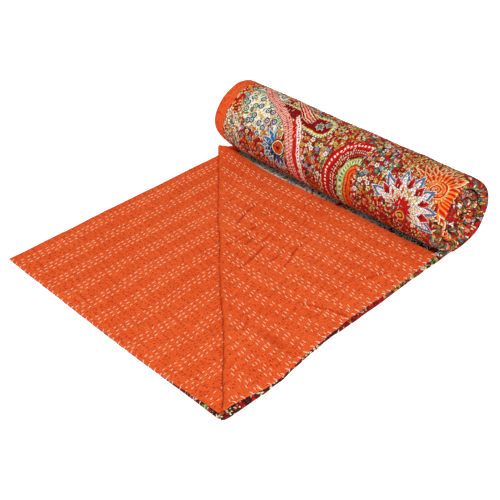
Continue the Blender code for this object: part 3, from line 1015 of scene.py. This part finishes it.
def sow(per_metre, stray=1.0):
    """Scattered motifs: the place within each, and the chances of its ink and of its showing."""
    made = place_group(tree, scatter, Flat=flat, Per_Metre=per_metre, Stray=stray)
    return [Gauge(tree, made[name]) for name in ("X", "Y", "Ink", "Pick")]


def ink(group, chance):
    """One of a group's inks, by chance."""
    return place_group(tree, group, Ink=chance)["Colour"]


def by_field(share, column):
    """A share that changes from field to field of the ground."""
    chosen = drift * 0.0 + share
    for field in fields:
        chosen = field[0] * (chosen * -1.0 + field[column]) + chosen
    return chosen


def by_chance(base, column, chance):
    """One of the field's inks, by chance."""
    chosen = ink(base, chance)
    for field in fields:
        chosen = mix(tree, field[0], chosen, ink(field[column], chance))
    return chosen


def sweep(u, q, wide, high):
    """An oval line: how far outside it a point lies, the way along it and the angle on it."""
    x, y = repeat_u - u, repeat_q - q
    reach = ((x / wide) * (x / wide) + (y / high) * (y / high)).root()
    radius = (x * x + y * y).root()
    angle = (y / high).angle(x / wide)
    return radius - radius / reach, angle * ((wide + high) / 2), angle * (180 / math.pi)


def lay_rings(colour, reach, here, rings):
    """rings: how far each reaches and its ink, widest first."""
    for outer, ring_ink in rings:
        where = reach.below(outer)
        colour = mix(tree, where * here if here else where, colour, ring_ink)
    return colour


def lay_disc(colour, u, q, size, rings):
    """Round rings on a middle, as shares of their size."""
    x, y = set_motif(u, q, size=size)
    return lay_rings(colour, (x * x + y * y).root(), None, rings)


def lay_band(colour, gap, run, here, bands, dots=()):
    """bands: half width and ink, widest first. dots: off the middle, spacing, radius, ink."""
    colour = lay_rings(colour, gap.size(), here, bands)
    for off, spacing, radius, dot in dots:
        x, y = ((run / spacing).part() - 0.5) * spacing, gap - off
        colour = mix(tree, (x * x + y * y).below(radius * radius) * here, colour, dot)
    return colour


def lay_fan(colour, u, q, step, turn, start, long, wide, bands, low=-180, high=181):
    """Leaves round a middle, between two angles. bands: margin from their outline, ink."""
    x, y = set_motif(u, q)
    made = place_group(tree, fan, X=x, Y=y, Step=math.radians(step), Turn=math.radians(turn),
                       Start=start, Long=long, Wide=wide)
    chance = (Gauge(tree, made["Leaf"]) * 0.618).part()
    here = y.angle(x).between(math.radians(low), math.radians(high))
    for margin, band in bands:
        band = ink(band, chance) if isinstance(band, bpy.types.NodeTree) else band
        colour = mix(tree, Gauge(tree, made["Inside"]).above(margin) * here, colour, band)
    return colour


# fields of the ground: where, inks of its dabs, outline, inks and share of its leaves and blooms
drift = noise(tree, flat, 13.0, 1.0)
under_roll = along.between(0.64, 0.82)
long_fold = across.between(0.738, 0.800)
pressed_edges = along.below(0.030).at_least(long_fold * along.below(0.44))
leaf_strip = under_roll * across.above(0.80)
ring_ground = within(0.150, 0.352, 42, 0.098, 0.066)
MEADOW = (dark_inks, DARK, meadow_inks, 0.30, meadow_inks, 0.95)
AMBER_GROUND = (orange_inks, DEEP_RED, orange_inks, 0.95)
PALE_GROUND = (white_inks, CREAM, white_inks, 0.50)
fields = (
    (drift.below(0.50), dark_inks, DARK, meadow_inks, 0.35, meadow_inks, 0.75),
    (within(0.690, 0.318, 8, 0.110, 0.050), *AMBER_GROUND, orange_inks, 0.15),
    (within(0.415, 0.310, 60, 0.085, 0.038), *AMBER_GROUND, red_inks, 0.30),
    (within(0.372, 0.410, 10, 0.062, 0.046), *MEADOW),
    (within(0.548, 0.372, 80, 0.078, 0.046), *MEADOW),
    (within(0.545, 0.486, 0, 0.200, 0.034), red_inks, DEEP_RED, red_inks, 0.80, orange_inks, 0.20),
    (within(0.745, 0.425, 20, 0.040, 0.052), white_inks, CREAM, red_inks, 0.80, red_inks, 0.40),
    (within(0.185, 0.478, 0, 0.100, 0.046), red_inks, DEEP_RED, red_inks, 0.50, meadow_inks, 0.60),
    (leaf_strip, cool_inks, CREAM, cool_inks, 0.10, cool_inks, 0.10),
    (under_roll * across.between(0.80, 1.00), cool_inks, DARK, white_inks, 0.10, red_inks, 0.20),
    (long_fold, dark_inks, DARK, dark_inks, 0.80, meadow_inks, 0.30),
    (pressed_edges, edge_inks, DARK, edge_inks, 0.80, dark_inks, 0.20),
    (ring_ground, *PALE_GROUND, white_inks, 0.10),
    (within(0.214, 0.398, 20, 0.044, 0.040), *PALE_GROUND, orange_inks, 0.85),
    (within(0.074, 0.420, 80, 0.085, 0.032), white_inks, DEEP_RED, white_inks, 0.95, orange_inks, 0.20),
    (across.between(0.030, 0.078) * repeat_q.between(0.20, 0.40),
     orange_inks, RED, orange_inks, 0.95, red_inks, 0.10))

# close-set dabs, then leaves of two sizes, then blooms
cells = {"Vector": flat, "Scale": DABS}
dab = node(tree, "TexVoronoi", {"voronoi_dimensions": "2D"}, **cells)
edge = node(tree, "TexVoronoi", {"voronoi_dimensions": "2D", "feature": "DISTANCE_TO_EDGE"}, **cells)
edge = Gauge(tree, edge.outputs["Distance"])
outline = DEEP_RED
for field in fields:
    outline = mix(tree, field[0], outline, field[2])
dab_ink = by_chance(red_inks, 1, parts_of(tree, dab.outputs["Color"])[0])
colour = mix(tree, edge.below(0.10), dab_ink, outline)
for per_metre, less in ((92.0, 0.30), (62.0, 0.15)):
    x, y, chance, pick = sow(per_metre)
    reach = y.size() * 1.9 + x * x * 1.6
    here = pick.above(by_field(0.6, 4) * -1.0 + (1 + less))
    colour = lay_rings(colour, reach, here, ((0.42, DARK), (0.31, by_chance(red_inks, 3, chance))))
    colour = mix(tree, y.size().below(0.03) * reach.below(0.24) * here, colour, DEEP_RED)
x, y, chance, pick = sow(62.0, 0.8)
radius = (x * x + y * y).root()
off_petal = ((y.angle(x) * 5.0 / (2 * math.pi)).part() - 0.5).size() * 2
here = pick.above(by_field(0.3, 6) * -1.0 + 1.0)
colour = lay_rings(colour, radius / (off_petal.power(1.6) * 0.42 * -1.0 + 1.0), here,
                   ((0.54, DARK), (0.43, by_chance(red_inks, 5, chance))))
colour = lay_rings(colour, radius, here, ((0.18, DEEP_RED), (0.12, MUSTARD)))

# large curling forms where the leaves go under the roll, and ring dots on the pale field
x, y, chance, pick = sow(24.0)
colour = lay_rings(
    colour, y.size() * 1.5 + x * x * 1.2, pick.above(0.10) * leaf_strip,
    ((0.50, DARK), (0.46, WHITE), (0.34, ink(cool_inks, chance)), (0.17, WHITE), (0.08, TEAL)))
x, y, chance, pick = sow(44.0, 0.55)
colour = lay_rings(
    colour, (x * x + y * y).root(), pick.above(0.12) * ring_ground,
    ((0.45, WHITE), (0.40, DARK), (0.33, ink(ring_inks, chance)), (0.18, WHITE), (0.11, DARK)))

# hooked paisley with a beaded border, and a striped stem
PAISLEY, PAISLEY_TURN, PAISLEY_SIZE = (0.345, 0.334), 176, 0.040
TAIL, TAIL_BEND = 5.2, 0.035
x, y = set_motif(*PAISLEY, PAISLEY_TURN, PAISLEY_SIZE)
ahead, behind = x.at_least(0.0), x.at_most(0.0)
y = y - ahead * TAIL_BEND * ahead
side = y / (ahead / TAIL * -1.0 + 1.0).at_least(0.0001).power(0.75)
reach, run = (behind * behind + side * side).root(), ahead + behind.angle(y.size()) * -1.0
colour = lay_rings(colour, reach, None,
                   ((1.0, DARK), (0.95, CREAM), (0.83, LIME), (0.66, RED), (0.60, DEEP_RED)))
for middle, half, spacing, bead in ((0.89, 0.045, 0.22, DARK), (0.75, 0.05, 0.34, CREAM)):
    on_bead = ((run / spacing).part() - 0.5).size().below(0.25)
    colour = mix(tree, (reach - middle).size().below(half) * on_bead, colour, bead)
for u, q in ((0.300, 0.333), (0.338, 0.340), (0.358, 0.322)):
    colour = lay_fan(colour, u, q, 60, 0, 0.0, 0.013, 0.009, ((0.0, CREAM), (0.0012, TEAL), (0.0030, BROWN)))
gap, run, angle = sweep(0.400, 0.100, 0.250, 0.250)
colour = lay_band(colour, gap, run, angle.between(112, 165),
                  ((0.0155, PINK), (0.0130, DEEP_RED), (0.0090, CREAM), (0.0060, RED), (0.0022, PINK)))

# long double borders with dots
gap, run, angle = sweep(0.180, 0.530, 0.132, 0.190)
colour = lay_band(colour, gap - 0.017, run, angle.between(-58, 12), ((0.013, DEEP_RED), (0.010, RED)))
colour = lay_band(colour, gap - 0.031, run, angle.between(-60, 10),
                  ((0.0080, DEEP_RED), (0.0068, PINK), (0.0046, WHITE)), ((0.0, 0.0068, 0.0023, RED),))
border = (((0.0138, DEEP_RED), (0.0122, PINK), (0.0088, WHITE), (0.0062, PINK)),
          ((0.0076, 0.0078, 0.0024, RED), (0.0, 0.0078, 0.0023, DEEP_RED), (-0.0076, 0.0078, 0.0024, RED)))
colour = lay_band(colour, gap, run, angle.between(-88, 30), *border)
gap, run, angle = sweep(0.245, 0.130, 0.208, 0.208)
colour = lay_band(colour, gap, run, angle.between(104, 172), *border)

# arch of dotted borders, its left side alone, upright from where the curve ends
ARCH_U, ARCH_Q, ARCH_WIDE, ARCH_HIGH = 0.505, 0.440, 0.081, 0.106
gap, run, angle = sweep(ARCH_U, ARCH_Q, ARCH_WIDE, ARCH_HIGH)
left_side = repeat_u.below(0.507) * repeat_q.below(0.535)
upright = (repeat_q - ARCH_Q).above(0.0)
gap = gap + upright * ((repeat_u - (ARCH_U - ARCH_WIDE)) * -1.0 - gap)
run = run + upright * (repeat_q - run)
for off, bands, dots in (
        (-0.068, ((0.0115, RED), (0.0095, ORANGE_INK), (0.0022, RED)), ((0.0055, 0.0090, 0.0022, MUSTARD),)),
        (-0.047, ((0.0105, DARK), (0.0090, LIME), (0.0042, CREAM)), ((0.0, 0.0150, 0.0044, TEAL),)),
        (-0.023, ((0.0125, DARK), (0.0108, DEEP_RED)),
         ((0.0, 0.0080, 0.0026, PINK), (0.0068, 0.0080, 0.0018, CREAM),
          (-0.0068, 0.0080, 0.0018, ORANGE_INK))),
        (0.0, ((0.0130, RED), (0.0105, DEEP_RED), (0.0080, RED)), ((0.0, 0.0095, 0.0028, WHITE),))):
    colour = lay_band(colour, gap - off, run, left_side, bands, dots)

# blue flower with an orange middle, open to one side
BLUE_FLOWER, BLUE_SIZE = (0.255, 0.437), 0.056
for turn, long, wide, far_ink, deep_ink, low, high in (
        (12, BLUE_SIZE, 0.020, (0.0026, SKY), (0.0050, BLUE), 55, 181),
        (12, BLUE_SIZE, 0.020, (0.0026, SKY), (0.0050, BLUE), -181, -120),
        (0, 0.046, 0.019, (0.0030, BLUE), (0.0060, DARK), 55, 181)):
    colour = lay_fan(colour, *BLUE_FLOWER, 24, turn, 0.010, long, wide,
                     ((0.0, DARK), (0.0010, WHITE), far_ink, deep_ink), low, high)
colour = lay_disc(colour, *BLUE_FLOWER, BLUE_SIZE,
                  ((0.40, DARK), (0.35, CREAM), (0.31, ORANGE_INK), (0.10, DEEP_RED)))
x, y = set_motif(*BLUE_FLOWER, size=BLUE_SIZE)
colour = mix(tree, (x * x + y * y).below(0.30 ** 2) * edge.below(0.12), colour, DEEP_RED)

# scroll with curling leaves
SCROLL, SCROLL_SIZE = (0.722, 0.366), 0.026
for turn, start, long, leaf_ink in ((0, 0.036, 0.054, GOLD), (7.5, 0.022, 0.044, AMBER)):
    colour = lay_fan(colour, *SCROLL, 15, turn, start, long, 0.015,
                     ((-0.0009, DEEP_RED), (0.0006, CREAM), (0.0019, leaf_ink), (0.0046, RED)), -170, 60)
x, y = set_motif(*SCROLL, size=SCROLL_SIZE)
radius = (x * x + y * y).root()
coil = (y.angle(x) / (2 * math.pi) + radius * 2.1).part()
for low, high, coil_ink in ((0.0, 1.0, RED), (0.0, 0.58, (0.74, 0.26, 0.04)), (0.10, 0.34, ORANGE_INK),
                            (0.90, 1.0, CREAM)):
    colour = mix(tree, coil.between(low, high) * radius.below(1.0), colour, coil_ink)

# lotus: rows of petals, the longest at the back, with fine veins and a round middle
LOTUS = (0.656, 0.440)
for step, turn, long, wide, tip_ink, middle_ink in (
        (30, 0, 0.098, 0.036, TIP_BLUE, WHITE), (30, 15, 0.080, 0.032, RED, DEEP_RED),
        (30, 0, 0.066, 0.028, WHITE, petal_inks), (36, 0, 0.050, 0.024, CREAM, petal_inks),
        (30, 15, 0.032, 0.016, RED, MUSTARD)):
    colour = lay_fan(colour, *LOTUS, step, turn, 0.003, long, wide,
                     ((0.0, DARK), (0.0009, WHITE), (0.0027, tip_ink), (0.0085, middle_ink)), -181, 30 - turn)
colour = mix(tree, within(*LOTUS, 0, 0.090, 0.090) * edge.below(0.10) * 0.75, colour, DEEP_RED)
colour = lay_disc(colour, 0.656, 0.456, 0.020,
                  ((1.0, DARK), (0.90, RED), (0.62, MUSTARD), (0.45, DEEP_RED), (0.25, MUSTARD)))

# the pressed fold is darker in one place, and all over the print darkens with the dark mottle, which is
# partly random and partly painted shade in the puckers' hollows
colour = mix(tree, across.between(0.735, 0.785) * along.between(0.36, 0.50) * 0.45, colour, MAROON)
colour = mix(tree, cotton["Dark Mottle And Shade"], colour, mix(tree, 0.5, colour, DARK))
tree.links.new(colour, shader.inputs["Base Color"])
printed_front.data.materials.append(printed_cotton)
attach(printed_front, "root")
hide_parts("quilt")


# === Quilting stitches ======================================================================
# Cotton thread in long running stitches, by hand, through all layers. Rows go in threes: three
# in dark red, then three in cream. A stitch that shows on one face is hidden on the other.
CREAM_STITCH, RED_STITCH = 0.0090, 0.0064
CREAM_WIDTH, RED_WIDTH = 0.00142, 0.0019
TURNED_GROWTH = 1.16         # of the stitches on the turned-back corner
CREAM_SHARE, RED_SHARE, TURNED_RED_SHARE = 0.97, 0.92, 0.60     # of the stitches that can be seen
STITCH_LEAN, LEAN_SPREAD = -0.08, 0.09      # of a stitch off its row
LENGTH_SPREAD = (0.78, 1.18)
SLIP_ALONG, SLIP_ACROSS = 0.0013, 0.0006    # of the hand
ROW_STITCHES = 50                           # more than the longest row has
THREAD_STEPS = np.array((-0.5, -0.30, 0.0, 0.30, 0.5))
THREAD_ARCH = np.array((-0.0004, 0.00035, 0.0005, 0.00035, -0.0004))
NEAR = 0.0012                # for the slope of the cloth at a stitch
CREAM_THREAD, RED_THREAD, WHITE_THREAD = (0.97, 0.80, 0.50), (0.48, 0.026, 0.002), (0.92, 0.88, 0.80)
TWIST, FUZZ, FUZZ_SHADE = 700.0, 1400.0, 0.82


class Thread:
    """Short threads of one colour, each a low rounded strip that follows the cloth."""

    def __init__(self):
        self.points, self.faces = [], []

    def lay(self, line, normal, width):
        """line: points of each thread, (threads, steps, 3). normal: the cloth's, at each."""
        count, steps = line.shape[:2]
        along = np.gradient(line, axis=1)
        side = np.cross(along, normal)
        side = side / np.linalg.norm(side, axis=-1, keepdims=True) * (width / 2)
        taper = np.array([0.45] + [1.0] * (steps - 2) + [0.45])[None, :, None]
        round_up = normal * width * 0.36
        ring = np.stack((line + side * taper, line + side * 0.6 * taper + round_up * taper,
                         line - side * 0.6 * taper + round_up * taper, line - side * taper), axis=2)
        start = len(self.points)
        self.points.extend(ring.reshape(-1, 3))
        for k in range(count):
            first = start + k * steps * 4
            for i in range(steps - 1):
                for j in range(3):
                    a = first + i * 4 + j
                    self.faces.append((a, a + 1, a + 5, a + 4))
            self.faces.append((first, first + 3, first + 2, first + 1))
            last = first + (steps - 1) * 4
            self.faces.append((last, last + 1, last + 2, last + 3))

    def sew(self, name):
        """The piece: all its threads."""
        data = new_mesh(name, [p + corner for p in self.points], self.faces)
        data.shade_smooth()
        return put(name, data)


cream_thread, red_thread = Thread(), Thread()
thread_chance = np.random.default_rng(71)


def row_u(row, v, turned=False):
    """Where a row runs. The three of one colour lie a little apart from each other."""
    start, pitch, _ = FLAP_ROWS if turned else LOWER_ROWS
    u = start + pitch * (row + ROW_GROUPING * np.sin(math.pi / 3 * (row - 4)))
    return u + row_wander(u, v, turned)


def quilt_rows(face, rows_of, side, shown, outward, turned=False):
    """Running stitches on one face. face(u, v) is a point of it, shown(u, v) what is in sight."""
    for row in rows_of:
        cream = row % 6 >= 3
        repeat = (FLAP_ROWS if turned else LOWER_ROWS)[2]
        count = np.arange(-1, ROW_STITCHES) + (0.5 if side == "print" else 0.0)
        v = (count - stitch_shift(row, count * repeat)) * repeat
        v = v + thread_chance.normal(0, SLIP_ALONG, len(v))
        u = row_u(row, v, turned) + thread_chance.normal(0, SLIP_ACROSS, len(v))
        lengths = (CREAM_STITCH if cream else RED_STITCH) * thread_chance.uniform(*LENGTH_SPREAD, len(v))
        if turned:
            lengths = lengths * TURNED_GROWTH
        lean = lengths * thread_chance.normal(STITCH_LEAN * (1 + turned), LEAN_SPREAD, len(v))
        likely = CREAM_SHARE if cream else TURNED_RED_SHARE if turned else RED_SHARE
        keep = shown(u, v) & (thread_chance.random(len(v)) < likely)
        u, v, lengths, lean = u[keep], v[keep], lengths[keep], lean[keep]
        if not len(u):
            continue
        us = u[:, None] + lean[:, None] * THREAD_STEPS
        vs = v[:, None] + lengths[:, None] * THREAD_STEPS
        line = face(us, vs)
        slope_u = face(us + NEAR, vs) - face(us - NEAR, vs)
        slope_v = face(us, vs + NEAR) - face(us, vs - NEAR)
        normal = np.cross(slope_u, slope_v) * outward
        normal = normal / np.linalg.norm(normal, axis=-1, keepdims=True)
        (cream_thread if cream else red_thread).lay(
            line + normal * THREAD_ARCH[None, :, None], normal, CREAM_WIDTH if cream else RED_WIDTH)


all_rows = range(1, 79)


def before_diagonal(u, v):
    """What shows of the lower leaf: the part that the turned-back corner has left bare."""
    fold, _ = diagonal_at(1 - u / LEAF_END)
    return (u < LEAF_END) & (v > 0.007) & (v < fold[..., 1] + 0.008)


def on_flap(u, v):
    """The turned-back corner, without its edges."""
    return (u < LEAF_END - 0.003) & (v > 0.007) & (v < flap_row(u) - 0.006)


def turns_at(v):
    """Turns of the roll at this v of the lower leaf."""
    return np.interp(v, wound_length(wound, HALF_PLY), wound)


quilt_rows(lower_orange, all_rows, "orange", before_diagonal, 1)
quilt_rows(flap_orange, all_rows, "orange", on_flap, -1, turned=True)


def print_face(u, v):
    """The print round the roll, with v from where the leaves go into it."""
    return rolled_print(u, turns_at(v + FLAT_LENGTH))


def on_outer_turn(u, v):
    """The part of the roll that lies free."""
    turns = turns_at(v + FLAT_LENGTH)
    return (turns > 0.06) & (turns < 0.97) & (u < LEAF_END)


def on_print(u, v):
    return on_outer_turn(u, v) & (u > HEM_WIDTH)


quilt_rows(print_face, all_rows, "print", on_print, -1)


def hem_face(u, v):
    """The face of the hem round the outer turn of the roll."""
    turns = turns_at(v + FLAT_LENGTH)
    lower, _ = leaf_depths(u, turns)
    body = rim(u) * (1 + puff(u, wound_length(turns, HALF_PLY), 52) / HALF_PLY)
    return place_rolled(rolled_x(u, turns), turns, lower + HALF_PLY - body - HEM_LIFT)


def on_hem(u, v):
    return on_outer_turn(u, v) & (u < HEM_WIDTH - 0.006)


quilt_rows(hem_face, (1, 2), "print", on_hem, -1)

cream_stitches = cream_thread.sew("cream_stitches")
red_stitches = red_thread.sew("red_stitches")


# --- Whip stitches ---
# White cotton thread, sewn by hand over the free end of both leaves, stitch by stitch. It
# closes the hem where front and back meet.
WHIP_WIDTH = 0.0013
WHIP_RUNS = np.array((0.0075, 0.0052, 0.0028, 0.0012, 0.0002))     # in from the sewn edge
WHIP_UNDER = np.array((0.0012, 0.0040))                            # the same, on the other face
WHIP_ARCH = np.array((-0.0003, 0.0005, 0.0006, 0.0006, 0.0006, 0.0004, 0.0))
WHIP_RISE = 0.004 * np.array((1, 1, 1, 0.7, 0.2, -0.5, -1))

white_thread = Thread()


def whip(top, under, starts, slant):
    """Slanting stitches over a sewn edge, from the orange face round to the print face."""
    lines = []
    for start in starts:
        reach = thread_chance.uniform(0.8, 1.15)
        us = start + slant * (WHIP_RUNS[0] - WHIP_RUNS) / WHIP_RUNS[0] * thread_chance.uniform(0.6, 1.3)
        below = under(us[-1] + slant * np.array((0.25, 0.6)), WHIP_UNDER)
        lines.append(np.concatenate((top(us, WHIP_RUNS * reach), below)))
    lines = np.array(lines)
    middle = lines[:, -1:, :] * 0.5 + lines[:, :1, :] * 0.5
    normal = lines - middle
    normal[..., 2] += WHIP_RISE
    normal = normal / np.linalg.norm(normal, axis=-1, keepdims=True)
    white_thread.lay(lines + normal * WHIP_ARCH[None, :, None], normal, WHIP_WIDTH)


def lower_under(u, v):
    return place_flat(u, v / FLAT_LENGTH, np.maximum(HALF_PLY - rim(v), 0.0003))


def flap_under(u, v):
    return place_flap(1 - u / LEAF_END, 1 - v / flap_row(u), -rim(v))


# lower leaf, then turned-back corner: first and last stitch, spacing, stray and slant
for top, under, first, last, pitch, stray, slant in (
        (lower_orange, lower_under, 0.012, 0.745, 0.0192, 0.0016, 0.0045),
        (flap_orange, flap_under, 0.010, 0.735, 0.0215, 0.0018, -0.0050)):
    starts = np.arange(first, last, pitch)
    whip(top, under, starts + thread_chance.normal(0, stray, len(starts)), slant)
white_stitches = white_thread.sew("white_stitches")


def thread_material(name, thread_ink):
    """Soft spun cotton thread, with its twist and a little fuzz."""
    material, tree, shader = new_material(name, Roughness=0.75, Specular_IOR_Level=0.08)
    place = node(tree, "TexCoord").outputs["Object"]
    ply = node(tree, "TexWave", {"bands_direction": "DIAGONAL"}, Vector=place, Scale=TWIST, Distortion=1.2)
    fuzz = noise(tree, place, FUZZ, 2.0)
    tone = mix(tree, fuzz, tuple(c * FUZZ_SHADE for c in thread_ink), thread_ink)
    tree.links.new(tone, shader.inputs["Base Color"])
    height = Gauge(tree, ply.outputs["Fac"]) * 0.0002 + fuzz * 0.0001
    bump = node(tree, "Bump", Height=height, Distance=1.0, Strength=0.8)
    tree.links.new(bump.outputs["Normal"], shader.inputs["Normal"])
    return material


sewing = [cream_stitches, red_stitches, white_stitches]
for piece, name, thread_ink in zip(sewing, ("cream_thread", "dark_red_thread", "white_thread"),
                                   (CREAM_THREAD, RED_THREAD, WHITE_THREAD)):
    piece.data.materials.append(thread_material(name, thread_ink))
    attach(piece, "root")


# === Studio =================================================================================
# A plain pale floor with a soft glow of its own, under a pale sky and two soft square lights,
# and the camera, which looks down on the front corner.
FLOOR_REACH, FLOOR_GAP = 30, 0.0008
FLOOR_GLOW, SKY_GLOW = 0.62, 0.42
SENSOR_WIDTH = 36                            # millimetres
FRAME_WIDTH, FOCAL_LENGTH = 500, 877.58      # pixels
CAMERA_PLACE = (2.157869, -1.056278, 1.640649)     # in half widths, from where u and v start

floor_corners = [(FLOOR_REACH * a, FLOOR_REACH * b, 0) for a, b in ((-1, -1), (1, -1), (1, 1), (-1, 1))]
floor = put("floor", new_mesh("floor", floor_corners, [(0, 1, 2, 3)]))
floor.location.z = -FLOOR_GAP
floor_material, _, _ = new_material(
    "pale_floor", Base_Color=(0.93, 0.93, 0.93, 1), Roughness=0.9, Emission_Color=(1, 1, 1, 1),
    Emission_Strength=FLOOR_GLOW)
floor.data.materials.append(floor_material)

world = bpy.data.worlds.new("studio")
bpy.context.scene.world = world
world.use_nodes = True
world.node_tree.nodes["Background"].inputs["Color"].default_value = (1.0, 1.0, 1.0, 1)
world.node_tree.nodes["Background"].inputs["Strength"].default_value = SKY_GLOW
bpy.context.scene.view_settings.view_transform = "Standard"
LIGHT_AIM = (0.4, 0.4, 0)


def soft_light(name, place, size, power):
    """A square light, turned to the middle of the quilt."""
    data = bpy.data.lights.new(name, "AREA")
    data.shape = "SQUARE"
    data.size = size
    data.energy = power
    light = put(name, data)
    light.location = place
    light.rotation_euler = (Vector(LIGHT_AIM) - Vector(place)).to_track_quat("-Z", "Y").to_euler()


soft_light("high_front", place=(3.36, -1.92, 3.6), size=0.8, power=192)
soft_light("high_left", place=(-1.6, -0.9, 2.6), size=1.2, power=24)

camera_data = bpy.data.cameras.new("camera")
camera_data.sensor_width = SENSOR_WIDTH
camera_data.lens = SENSOR_WIDTH * FOCAL_LENGTH / FRAME_WIDTH
camera_data.clip_start = 0.01
camera = put("camera", camera_data)
swing, tilt, lean = 0.789213, 0.618237, -0.018303     # radians
ahead = Vector((-math.sin(swing) * math.cos(tilt), math.cos(swing) * math.cos(tilt), -math.sin(tilt)))
side = Vector((math.cos(swing), math.sin(swing), 0))
upward = side.cross(ahead)
side, upward = (math.cos(lean) * side + math.sin(lean) * upward,
                math.cos(lean) * upward - math.sin(lean) * side)
view_from = Vector(CAMERA_PLACE) * HALF_WIDTH + Vector(corner)
camera.matrix_world = (
    (side.x, side.y, side.z, 0.0), (upward.x, upward.y, upward.z, 0.0),
    (-ahead.x, -ahead.y, -ahead.z, 0.0), (view_from.x, view_from.y, view_from.z, 1.0))
bpy.context.scene.camera = camera
